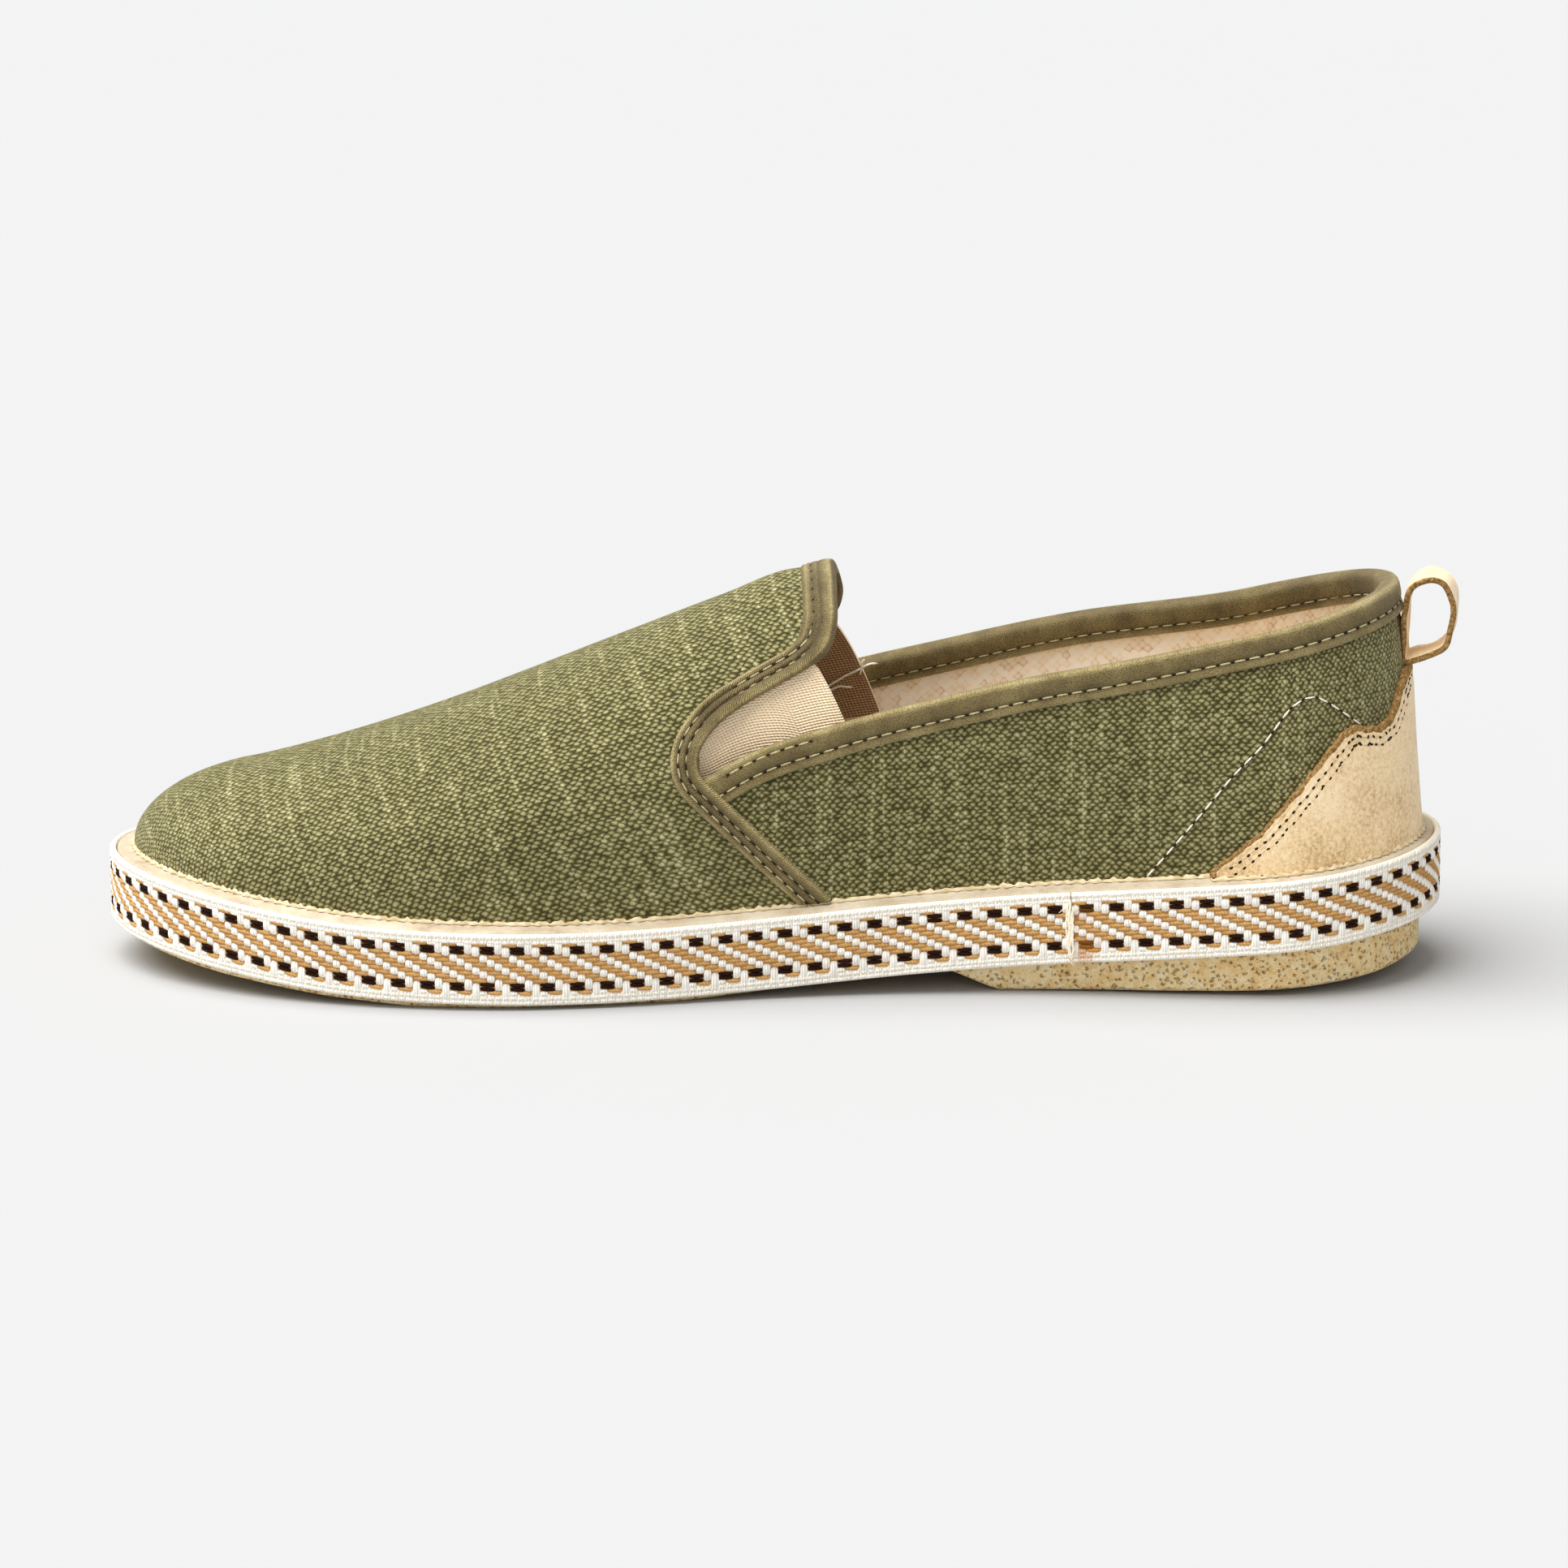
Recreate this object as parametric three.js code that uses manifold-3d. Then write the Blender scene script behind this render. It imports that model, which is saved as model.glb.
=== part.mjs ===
// Slip-on canvas shoe for the right foot: crepe outsole with a heel, rubber midsole with a ledge,
// woven tape round its edge, insole, hollow canvas upper with two elastic gores and folded bindings,
// suede heel counter and pull loop. Millimetres, +X to the toe, +Y to the inner side, +Z up.

import * as THREE from 'three'
import { mergeVertices } from 'three/addons/utils/BufferGeometryUtils.js'
import Module from 'manifold-3d'

const wasm = await Module()
wasm.setup()

// Sole
const length = 290
const ballWidth = 103
const heelRadius = 40
const toeRadius = 86
const toeRise = 7.7
const heelLift = 13
const tapeLift = 1.1
const heelBevel = 4.4
const archRise = 4.4
const crepeInset = 2
const heelInset = 2.2
const tapeHeight = 15.5
const tapeThickness = 1.2
const tapeJointAt = 80
const tapeJointGap = 0.4
const ledgeWidth = 3.8
const ledgeRise = 1.3
const outsoleSink = 2
const outsoleRounding = 1.2
const recessDepth = 3.7
const insoleThickness = 3.8
const insoleRounding = 1

// Upper
const instepRise = 73.5
const wall = 2
const heelFan = 40
const toeFan = 28
const heelPull = 0.88
const heelLean = 11.8

// Trim
const bindingThickness = 0.8
const collarBindingWidth = 5.7
const vampBindingWidth = 4.7
const goreThickness = 1
const goreDepth = 0.6
const counterThickness = 1.2
const loopWidth = 12
const loopThickness = 1.3
const loopDepth = 8.6
const loopHeight = 16.8

// Gap between pieces that touch on the real shoe
const clearance = 0.3

const tapeInset = tapeThickness + clearance
const featherInset = tapeInset + ledgeWidth
const featherHeight = tapeHeight + ledgeRise

// Plan of the sole between the round heel and the round toe. at is a share of the length,
// inner and outer are half widths as shares of the ball width.
const planTable = [
  { at: 0.0, inner: 0.369, outer: 0.369 },
  { at: 0.138, inner: 0.369, outer: 0.369 },
  { at: 0.2, inner: 0.360, outer: 0.374 },
  { at: 0.3, inner: 0.337, outer: 0.385 },
  { at: 0.4, inner: 0.338, outer: 0.408 },
  { at: 0.5, inner: 0.380, outer: 0.442 },
  { at: 0.6, inner: 0.448, outer: 0.484 },
  { at: 0.66, inner: 0.477, outer: 0.504 },
  { at: 0.703, inner: 0.485, outer: 0.515 },
  { at: 1.0, inner: 0.485, outer: 0.515 },
]

// Height of the tape's lower edge above its lowest place, as shares of the heel lift and the toe rise.
const liftTable = [
  { at: 0.0, heel: 1.0, toe: 0 },
  { at: 0.05, heel: 0.88, toe: 0 },
  { at: 0.1, heel: 0.77, toe: 0 },
  { at: 0.2, heel: 0.6, toe: 0 },
  { at: 0.3, heel: 0.44, toe: 0 },
  { at: 0.4, heel: 0.25, toe: 0 },
  { at: 0.5, heel: 0.08, toe: 0 },
  { at: 0.6, heel: 0, toe: 0 },
  { at: 0.7, heel: 0, toe: 0.01 },
  { at: 0.8, heel: 0, toe: 0.14 },
  { at: 0.9, heel: 0, toe: 0.51 },
  { at: 1.0, heel: 0, toe: 1.0 },
]

// Underside of the crepe, zero on the floor: rear, arch and toe are shares of the heel bevel, the
// arch rise and the toe rise, and slim is the share of the heel's inset that its side has there.
const treadTable = [
  { at: 0.0, rear: 1.0, arch: 0, toe: 0, slim: 1 },
  { at: 0.05, rear: 0.52, arch: 0, toe: 0, slim: 1 },
  { at: 0.1, rear: 0.22, arch: 0, toe: 0, slim: 1 },
  { at: 0.16, rear: 0, arch: 0, toe: 0, slim: 1 },
  { at: 0.33, rear: 0, arch: 0, toe: 0, slim: 0.9 },
  { at: 0.365, rear: 0, arch: 1.0, toe: 0, slim: 0.75 },
  { at: 0.41, rear: 0, arch: 0.84, toe: 0, slim: 0.5 },
  { at: 0.46, rear: 0, arch: 0.5, toe: 0, slim: 0.25 },
  { at: 0.51, rear: 0, arch: 0.24, toe: 0, slim: 0.1 },
  { at: 0.56, rear: 0, arch: 0, toe: 0, slim: 0 },
  { at: 0.76, rear: 0, arch: 0, toe: 0, slim: 0 },
  { at: 0.82, rear: 0, arch: 0, toe: 0.14, slim: 0 },
  { at: 0.9, rear: 0, arch: 0, toe: 0.46, slim: 0 },
  { at: 1.0, rear: 0, arch: 0, toe: 0.96, slim: 0 },
]

// Ridge of the last above the sole's wall, as a share of the instep rise. Behind the tab it goes on
// at the same slope as the virtual top of the quarters. round is the fullness of the cross section
// across (low is peaked) and tall is its fullness up (high is upright), shift moves the ridge to the
// inner side as a share of the ball width.
const ridgeTable = [
  { at: 0.0, ridge: 1.75, round: 1.5, tall: 3.2, shift: 0.0 },
  { at: 0.138, ridge: 1.54, round: 1.5, tall: 3.2, shift: 0.0 },
  { at: 0.29, ridge: 1.288, round: 1.5, tall: 3.2, shift: 0.0 },
  { at: 0.46, ridge: 0.946, round: 1.55, tall: 3.1, shift: 0.01 },
  { at: 0.52, ridge: 0.884, round: 1.6, tall: 2.9, shift: 0.01 },
  { at: 0.6, ridge: 0.762, round: 1.75, tall: 2.6, shift: 0.02 },
  { at: 0.72, ridge: 0.57, round: 1.9, tall: 2.2, shift: 0.03 },
  { at: 0.78, ridge: 0.48, round: 2.0, tall: 2.05, shift: 0.025 },
  { at: 0.84, ridge: 0.404, round: 2.0, tall: 2.0, shift: 0.015 },
  { at: 0.9, ridge: 0.346, round: 2.0, tall: 2.0, shift: 0.01 },
  { at: 1.0, ridge: 0.3, round: 2.0, tall: 2.0, shift: 0.01 },
]

// Top edge of the quarters, from the back of the heel to the front of the gore. up is the share of
// the way from the ledge to the ridge.
const toplineTable = [
  { at: 0.0, up: 0.486 },
  { at: 0.034, up: 0.485 },
  { at: 0.083, up: 0.478 },
  { at: 0.152, up: 0.477 },
  { at: 0.22, up: 0.487 },
  { at: 0.291, up: 0.503 },
  { at: 0.362, up: 0.52 },
  { at: 0.441, up: 0.54 },
  { at: 0.483, up: 0.532 },
  { at: 0.517, up: 0.498 },
  { at: 0.552, up: 0.44 },
]
const collarFront = 0.532

// Rear edge of the vamp, from the ledge up to the front of the gore, back along the gore to the
// corner of the tab, and over the tab's end to the ridge.
const vampEdgeTable = [
  { at: 0.467, up: 0.055 },
  { at: 0.5, up: 0.211 },
  { at: 0.536, up: 0.396 },
  { at: 0.5515, up: 0.490 },
  { at: 0.552, up: 0.577 },
  { at: 0.54, up: 0.645 },
  { at: 0.5186, up: 0.693 },
  { at: 0.4897, up: 0.74 },
  { at: 0.472, up: 0.768 },
  { at: 0.459, up: 0.805 },
  { at: 0.4545, up: 0.87 },
  { at: 0.4555, up: 0.94 },
  { at: 0.4565, up: 0.975 },
  { at: 0.4575, up: 0.993 },
  { at: 0.458, up: 1.0 },
]
const vampEdgeRowSteps = 3
const tabStart = 0.8

// Upper edge of the heel counter. turn is the angle round the heel from its back, in degrees.
const counterTable = [
  { turn: 0, up: 0.325 },
  { turn: 10, up: 0.325 },
  { turn: 17, up: 0.318 },
  { turn: 23, up: 0.3 },
  { turn: 28, up: 0.272 },
  { turn: 33, up: 0.252 },
  { turn: 40, up: 0.245 },
  { turn: 47, up: 0.254 },
  { turn: 54, up: 0.262 },
  { turn: 62, up: 0.236 },
  { turn: 76, up: 0.165 },
  { turn: 90, up: 0.085 },
  { turn: 102, up: 0.012 },
]

// Middle line of the pull loop seen from the side, as shares of the loop's depth behind the heel
// and of its height above its foot.
const loopTable = [
  { back: 0.0, high: 0.0 },
  { back: 0.01, high: 0.25 },
  { back: 0.03, high: 0.5 },
  { back: 0.08, high: 0.75 },
  { back: 0.28, high: 0.94 },
  { back: 0.58, high: 1.0 },
  { back: 0.87, high: 0.89 },
  { back: 1.0, high: 0.65 },
  { back: 0.92, high: 0.38 },
  { back: 0.63, high: 0.15 },
  { back: 0.3, high: 0.03 },
]

// Value of a table's column at a place, linear between rows.
function straight(table, key, column, place) {
  const last = table.length - 1
  const spot = THREE.MathUtils.clamp(place, table[0][key], table[last][key])
  let row = 0
  while (row < last - 1 && spot > table[row + 1][key]) row += 1
  const low = table[row]
  const high = table[row + 1]
  const share = (spot - low[key]) / (high[key] - low[key])
  return THREE.MathUtils.lerp(low[column], high[column], share)
}

// The same with a smooth cubic between rows, its slopes taken from the neighbouring rows.
function smooth(table, key, column, place) {
  const last = table.length - 1
  const spot = THREE.MathUtils.clamp(place, table[0][key], table[last][key])
  let row = 0
  while (row < last - 1 && spot > table[row + 1][key]) row += 1
  const slopeAt = (index) => {
    const before = table[Math.max(index - 1, 0)]
    const after = table[Math.min(index + 1, last)]
    return (after[column] - before[column]) / (after[key] - before[key])
  }
  const low = table[row]
  const high = table[row + 1]
  const span = high[key] - low[key]
  const t = (spot - low[key]) / span
  const rise = slopeAt(row) * span
  const fall = slopeAt(row + 1) * span
  const bend = high[column] - low[column]
  return low[column] + t * rise + t * t * (3 * bend - 2 * rise - fall) + t * t * t * (rise + fall - 2 * bend)
}

// Height of the tape's lower edge at x.
const liftAt = (x) => tapeLift + heelLift * smooth(liftTable, 'at', 'heel', x / length)
  + toeRise * smooth(liftTable, 'at', 'toe', x / length)

// Height of the line where the upper meets the ledge.
const featherAt = (x) => liftAt(x) + featherHeight

// Height of the last's ridge.
const ridgeAt = (x) => featherHeight + instepRise * smooth(ridgeTable, 'at', 'ridge', x / length)

// Point on the sole's outline. station runs from 0 at the heel's back along the inner side to 1 at
// the toe tip and back along the outer side to 2. The heel is a half ellipse up to heelShare, the
// toe one from toeShare, and inset moves the line inwards.
const heelShare = 0.2
const toeShare = 0.62

function outline(station, inset) {
  const turn = ((station % 2) + 2) % 2
  const side = turn <= 1 ? 1 : -1
  const share = turn <= 1 ? turn : 2 - turn
  const column = side > 0 ? 'inner' : 'outer'
  let x = 0
  let swell = 1
  if (share < heelShare) {
    const angle = share / heelShare * Math.PI / 2
    x = heelRadius - (heelRadius - inset) * Math.cos(angle)
    swell = Math.sin(angle)
  } else if (share > toeShare) {
    const angle = (1 - share) / (1 - toeShare) * Math.PI / 2
    x = length - toeRadius + (toeRadius - inset) * Math.cos(angle)
    swell = Math.sin(angle)
  } else {
    const along = (share - heelShare) / (toeShare - heelShare)
    x = THREE.MathUtils.lerp(heelRadius, length - toeRadius, along)
  }
  const half = ballWidth * smooth(planTable, 'at', column, x / length) - inset
  return { x, y: side * half * swell }
}

// Station of a place x in the straight stretch between heel and toe, on the inner side.
function stationAt(x) {
  const along = (x - heelRadius) / (length - toeRadius - heelRadius)
  return THREE.MathUtils.lerp(heelShare, toeShare, along)
}

// A cross section's share outwards and share upwards at an angle from level to the ridge: both lie
// on out^round + high^tall = 1, and their ratio is the angle's tangent.
function dome(angle, round, tall) {
  if (angle >= Math.PI / 2 - 1e-9) return { out: 0, high: 1 }
  const ratio = Math.tan(angle)
  let low = 0
  let top = 1
  for (let step = 0; step < 40; step += 1) {
    const middle = (low + top) / 2
    if (middle ** round + (middle * ratio) ** tall > 1) top = middle
    else low = middle
  }
  return { out: low, high: low * ratio }
}

// Angle at which a cross section reaches a share of its height.
function angleOf(high, round, tall) {
  const out = (1 - Math.min(high, 1) ** tall) ** (1 / round)
  return Math.atan2(high, out)
}

// Point on the outside of the last: from the ridge's plan point a ray runs to the outline, the share
// out of it is taken, and the height follows the dome. Angles past the ridge go down the other side.
function lastPoint(station, angle) {
  if (angle > Math.PI / 2) return lastPoint(2 - station, Math.PI - angle)
  const foot = outline(station, featherInset)
  const centre = THREE.MathUtils.clamp(foot.x, heelFan, length - toeFan)
  const place = centre / length
  const round = smooth(ridgeTable, 'at', 'round', place)
  const tall = smooth(ridgeTable, 'at', 'tall', place)
  const middle = ballWidth * smooth(ridgeTable, 'at', 'shift', place)
  const { out, high } = dome(angle, round, tall)
  const behind = THREE.MathUtils.smoothstep(2 * heelFan - foot.x, 0, heelFan)
  const narrow = 1 - heelPull * behind * high * high
  const lean = heelLean * high * Math.max(1 - foot.x / heelFan, 0)
  const x = centre + out * (foot.x - centre) + lean
  const y = middle + out * narrow * (foot.y - middle)
  const base = featherAt(x)
  return new THREE.Vector3(x, y, base + (ridgeAt(x) - base) * high)
}

// Outward direction of the last's surface.
function lastNormal(station, angle) {
  const step = 0.004
  if (Math.abs(angle - Math.PI / 2) < 1e-6) {
    const x = lastPoint(station, angle).x
    const slope = (ridgeAt(x + 1) - ridgeAt(x - 1)) / 2
    return new THREE.Vector3(-slope, 0, 1).normalize()
  }
  const low = Math.max(angle - step, 0.001)
  const up = lastPoint(station, angle + step).sub(lastPoint(station, low))
  const on = lastPoint(station + step, angle).sub(lastPoint(station - step, angle))
  return up.cross(on).normalize()
}

// Point at a distance from the last's surface.
function offsetPoint(station, angle, distance) {
  return lastPoint(station, angle).addScaledVector(lastNormal(station, angle), distance)
}

// Station and angle of a place on the inner side, x along the shoe and up as a share of the way to
// the ridge.
function placeOf(x, up) {
  const place = x / length
  const round = smooth(ridgeTable, 'at', 'round', place)
  const tall = smooth(ridgeTable, 'at', 'tall', place)
  return { station: stationAt(x), angle: angleOf(up, round, tall) }
}

// Station and angle reached by going a distance over the surface in a direction.
function walk(start, direction, distance) {
  const steps = 6
  const nudge = 0.003
  let { station, angle } = start
  for (let step = 0; step < steps; step += 1) {
    const here = lastPoint(station, angle)
    const alongStation = lastPoint(station + nudge, angle).sub(here).divideScalar(nudge)
    const alongAngle = lastPoint(station, angle + nudge).sub(here).divideScalar(nudge)
    const a = alongStation.dot(alongStation)
    const b = alongStation.dot(alongAngle)
    const c = alongAngle.dot(alongAngle)
    const p = alongStation.dot(direction) * distance / steps
    const q = alongAngle.dot(direction) * distance / steps
    const area = a * c - b * b
    station += (c * p - b * q) / area
    angle += (a * q - b * p) / area
  }
  return { station, angle }
}

// Closed solid from points and triangles given by index, with doubled points merged, triangles
// without area dropped and the faces turned outwards.
function solid(points, faces) {
  const raw = new THREE.BufferGeometry()
  raw.setAttribute('position', new THREE.Float32BufferAttribute(points.flatMap((p) => [p.x, p.y, p.z]), 3))
  raw.setIndex(faces.flat())
  const merged = mergeVertices(raw, 1e-3)
  const index = merged.index.array
  const kept = []
  for (let i = 0; i < index.length; i += 3) {
    const [a, b, c] = [index[i], index[i + 1], index[i + 2]]
    if (a !== b && b !== c && c !== a) kept.push(a, b, c)
  }
  const spot = merged.attributes.position
  const corner = (i) => new THREE.Vector3().fromBufferAttribute(spot, i)
  let volume = 0
  for (let i = 0; i < kept.length; i += 3) {
    volume += corner(kept[i]).dot(corner(kept[i + 1]).cross(corner(kept[i + 2])))
  }
  if (volume < 0) kept.reverse()
  merged.setIndex(kept)
  return merged
}

// Faces between successive rings of points, each ring closed on itself.
function ringFaces(rings, count) {
  const faces = []
  for (let ring = 0; ring < rings - 1; ring += 1) {
    for (let k = 0; k < count; k += 1) {
      const next = (k + 1) % count
      const a = ring * count + k
      const b = ring * count + next
      faces.push([a, a + count, b], [a + count, b + count, b])
    }
  }
  return faces
}

// Strip across a ring of the sole that pairs each inner point with its outer one. The ring starts at
// the heel's back and has its toe tip half way round.
function capFaces(start, count, upwards) {
  const faces = []
  for (let k = 0; k < count / 2; k += 1) {
    const a = start + k
    const b = start + k + 1
    const c = start + (count - k - 1)
    const d = start + ((count - k) % count)
    faces.push(upwards ? [a, c, b] : [a, b, c], upwards ? [a, d, c] : [a, c, d])
  }
  return faces
}

// Stations round the shoe: even angles round the heel and toe, and named places between them.
const straightPlaces = [
  0.165, 0.195, 0.225, 0.255, 0.29, 0.33, 0.365, 0.4, 0.44, 0.475, 0.51, 0.56, 0.61, 0.66,
]
const heelSteps = 9
const toeSteps = 11

function sideStations() {
  const list = []
  for (let k = 0; k <= heelSteps; k += 1) list.push(heelShare * k / heelSteps)
  for (const place of straightPlaces) list.push(stationAt(place * length))
  for (let k = 0; k <= toeSteps; k += 1) list.push(toeShare + (1 - toeShare) * k / toeSteps)
  return list
}

const inner = sideStations()
const around = [...inner, ...inner.slice(1, -1).reverse().map((station) => 2 - station)]

// Plate bounded by rings, each with its inset and height as functions of the outline's point.
function plate(levels) {
  const points = levels.flatMap((level) => around.map((station) => {
    const edge = outline(station, 0)
    const spot = outline(station, level.inset(edge.x))
    return new THREE.Vector3(spot.x, spot.y, level.height(spot.x))
  }))
  const faces = ringFaces(levels.length, around.length)
  faces.push(...capFaces(0, around.length, false))
  faces.push(...capFaces((levels.length - 1) * around.length, around.length, true))
  return solid(points, faces)
}

// Patch of the upper's surface made a sheet: spot(i, j) gives a station and angle on an even grid
// and the sheet lies between two distances from the surface.
function sheet(columns, rows, spot, near, far) {
  const points = []
  for (const distance of [near, far]) {
    for (let i = 0; i <= columns; i += 1) {
      for (let j = 0; j <= rows; j += 1) {
        const { station, angle } = spot(i / columns, j / rows)
        points.push(offsetPoint(station, angle, distance))
      }
    }
  }
  const at = (layer, i, j) => layer * (columns + 1) * (rows + 1) + i * (rows + 1) + j
  const faces = []
  const quad = (a, b, c, d) => faces.push([a, b, c], [a, c, d])
  for (let i = 0; i < columns; i += 1) {
    for (let j = 0; j < rows; j += 1) {
      quad(at(1, i, j), at(1, i + 1, j), at(1, i + 1, j + 1), at(1, i, j + 1))
      quad(at(0, i, j), at(0, i, j + 1), at(0, i + 1, j + 1), at(0, i + 1, j))
    }
  }
  for (let i = 0; i < columns; i += 1) {
    quad(at(0, i, 0), at(0, i + 1, 0), at(1, i + 1, 0), at(1, i, 0))
    quad(at(0, i + 1, rows), at(0, i, rows), at(1, i, rows), at(1, i + 1, rows))
  }
  for (let j = 0; j < rows; j += 1) {
    quad(at(0, 0, j + 1), at(0, 0, j), at(1, 0, j), at(1, 0, j + 1))
    quad(at(0, columns, j), at(0, columns, j + 1), at(1, columns, j + 1), at(1, columns, j))
  }
  return solid(points, faces)
}

// Strip carried along a line on the upper. Each ring has an outer and an inner row of the profile,
// whose across is the distance over the surface from the line and off the distance from the surface.
function band(line, side, profileAt) {
  const spots = line.map(({ station, angle }) => lastPoint(station, angle))
  const points = []
  let rowCount = 0
  line.forEach((spot, k) => {
    const before = spots[Math.max(k - 1, 0)]
    const after = spots[Math.min(k + 1, spots.length - 1)]
    const along = after.clone().sub(before).normalize()
    const normal = lastNormal(spot.station, spot.angle)
    const across = normal.clone().cross(along).multiplyScalar(side).normalize()
    const profile = profileAt(k)
    rowCount = profile.length
    for (const [distance, off] of profile) {
      const place = walk(spot, across, distance)
      points.push(offsetPoint(place.station, place.angle, off))
    }
  })
  const faces = ringFaces(line.length, rowCount)
  const half = rowCount / 2
  for (const start of [0, (line.length - 1) * rowCount]) {
    for (let k = 0; k < half - 1; k += 1) {
      const a = start + k
      const b = start + k + 1
      const c = start + rowCount - 2 - k
      const d = start + rowCount - 1 - k
      if (start === 0) faces.push([a, b, c], [a, c, d])
      else faces.push([a, c, b], [a, d, c])
    }
  }
  return solid(points, faces)
}

// Geometry of a boolean's result.
function fromManifold(body) {
  const mesh = body.getMesh()
  const geometry = new THREE.BufferGeometry()
  const values = []
  for (let i = 0; i < mesh.vertProperties.length; i += mesh.numProp) {
    values.push(mesh.vertProperties[i], mesh.vertProperties[i + 1], mesh.vertProperties[i + 2])
  }
  geometry.setAttribute('position', new THREE.Float32BufferAttribute(values, 3))
  geometry.setIndex(Array.from(mesh.triVerts))
  return geometry
}

function toManifold(geometry) {
  const plain = geometry.clone()
  plain.deleteAttribute('normal')
  plain.deleteAttribute('uv')
  const merged = mergeVertices(plain, 1e-4)
  return new wasm.Manifold(new wasm.Mesh({
    numProp: 3,
    vertProperties: new Float32Array(merged.attributes.position.array),
    triVerts: new Uint32Array(merged.index.array),
  }))
}

// Outsole
function outsole() {
  const share = (column, x) => straight(treadTable, 'at', column, x / length)
  const heelAndArch = (x) => heelBevel * share('rear', x) + archRise * share('arch', x)
  const treadAt = (x) => heelAndArch(x) + toeRise * share('toe', x)
  const insetAt = (x) => crepeInset + heelInset * share('slim', x)
  const topAt = (x) => liftAt(x) + outsoleSink
  return plate([
    { inset: (x) => insetAt(x) + outsoleRounding, height: treadAt },
    { inset: insetAt, height: (x) => Math.min(treadAt(x) + outsoleRounding, topAt(x) - outsoleRounding) },
    { inset: insetAt, height: topAt },
  ])
}

// Midsole with its ledge and the recess for the insole
const recessInset = featherInset + wall + clearance

function midsole() {
  const rim = (x) => featherAt(x) - clearance
  const ledgeRounding = ledgeRise / 2
  const rounded = (x) => liftAt(x) + tapeHeight + ledgeRounding - clearance
  return plate([
    { inset: () => tapeInset, height: (x) => liftAt(x) + outsoleSink + clearance },
    { inset: () => tapeInset, height: (x) => liftAt(x) + tapeHeight },
    { inset: () => tapeInset + ledgeRounding, height: rounded },
    { inset: () => featherInset - clearance, height: rim },
    { inset: () => recessInset, height: rim },
    { inset: () => recessInset, height: (x) => rim(x) - recessDepth },
  ])
}

// Insole in the recess
function insole() {
  const floor = (x) => featherAt(x) - recessDepth
  const edge = recessInset + clearance
  return plate([
    { inset: () => edge, height: floor },
    { inset: () => edge, height: (x) => floor(x) + insoleThickness - insoleRounding / 2 },
    { inset: () => edge + insoleRounding, height: (x) => floor(x) + insoleThickness },
  ])
}

// Woven tape round the sole's edge, open at its joint
function foxingTape() {
  const joint = stationAt(tapeJointAt)
  const opening = (stationAt(tapeJointAt + tapeJointGap) - joint) / 2
  const passed = around.filter((station) => Math.abs(station - joint) > 2 * opening)
  const ahead = passed.filter((station) => station > joint)
  const behind = passed.filter((station) => station < joint).map((station) => station + 2)
  const stations = [joint + opening, ...ahead, ...behind, joint + 2 - opening]
  const profile = [[0, 0], [0, tapeHeight], [tapeThickness, tapeHeight], [tapeThickness, 0]]
  const points = stations.flatMap((station) => profile.map(([inset, up]) => {
    const spot = outline(station, inset)
    return new THREE.Vector3(spot.x, spot.y, liftAt(spot.x) + up)
  }))
  const faces = ringFaces(stations.length, profile.length)
  const end = (stations.length - 1) * profile.length
  faces.push([0, 1, 2], [0, 2, 3], [end, end + 2, end + 1], [end, end + 3, end + 2])
  return solid(points, faces)
}

// Whole last surface as a closed form at a distance from the last, its foot carried down by drop.
const domeRows = 15

function lastForm(distance, drop) {
  const points = []
  const angles = []
  for (let row = 0; row <= domeRows; row += 1) angles.push(Math.PI / 2 * (row / domeRows) ** 1.25)
  const rings = drop > 0 ? [null, ...angles] : angles
  for (const angle of rings) {
    for (const station of around) {
      const point = offsetPoint(station, angle ?? 0, distance)
      if (angle === null) point.z -= drop
      points.push(point)
    }
  }
  const faces = ringFaces(rings.length, around.length)
  faces.push(...capFaces(0, around.length, false))
  return solid(points, faces)
}

// Lines along the opening: the topline's station and angle at a station, found by halving.
function toplineAngle(station) {
  let low = 0
  let high = Math.PI / 2
  for (let step = 0; step < 40; step += 1) {
    const angle = (low + high) / 2
    const point = lastPoint(station, angle)
    const base = featherAt(point.x)
    const up = (point.z - base) / (ridgeAt(point.x) - base)
    if (up > smooth(toplineTable, 'at', 'up', point.x / length)) high = angle
    else low = angle
  }
  return (low + high) / 2
}

// The vamp's edge as places at and up, smooth through its table's rows, and the first of them that
// lies above the quarter's top edge.
const vampEdge = new THREE.SplineCurve(vampEdgeTable.map(({ at, up }) => new THREE.Vector2(at, up)))
  .getPoints(vampEdgeRowSteps * (vampEdgeTable.length - 1))
const goreStart = vampEdge.findIndex((spot) => spot.y > smooth(toplineTable, 'at', 'up', spot.x))

// The same edge from a point on, over the ridge and back on the outer side, as stations and angles.
function vampLine(first) {
  const half = vampEdge.slice(first).map((spot) => placeOf(spot.x * length, spot.y))
  const mirrored = half.slice(0, -1).reverse()
    .map(({ station, angle }) => ({ station, angle: Math.PI - angle }))
  return [...half, ...mirrored]
}

// The quarters' top edge from one side's front round the heel to the other's.
function collarLine() {
  const front = stationAt(collarFront * length)
  const side = [...inner.filter((station) => station > 0 && station < front), front]
  const all = [...side.slice().reverse(), 0, ...side.map((station) => -station)]
  return all.map((station) => ({ station, angle: toplineAngle(station) }))
}

// Strip just past an edge, through the whole wall, that squares the edge off.
const edgeCut = 3

function edgeStrip(line, side) {
  const inside = -wall - edgeCut
  return band(line, side, () => [[0, edgeCut], [edgeCut, edgeCut], [edgeCut, inside], [0, inside]])
}

// Opening of the upper seen from the side, carried across the whole width: collar, both notches for
// the gores and the end of the tab.
const openingMargin = 30

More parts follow.
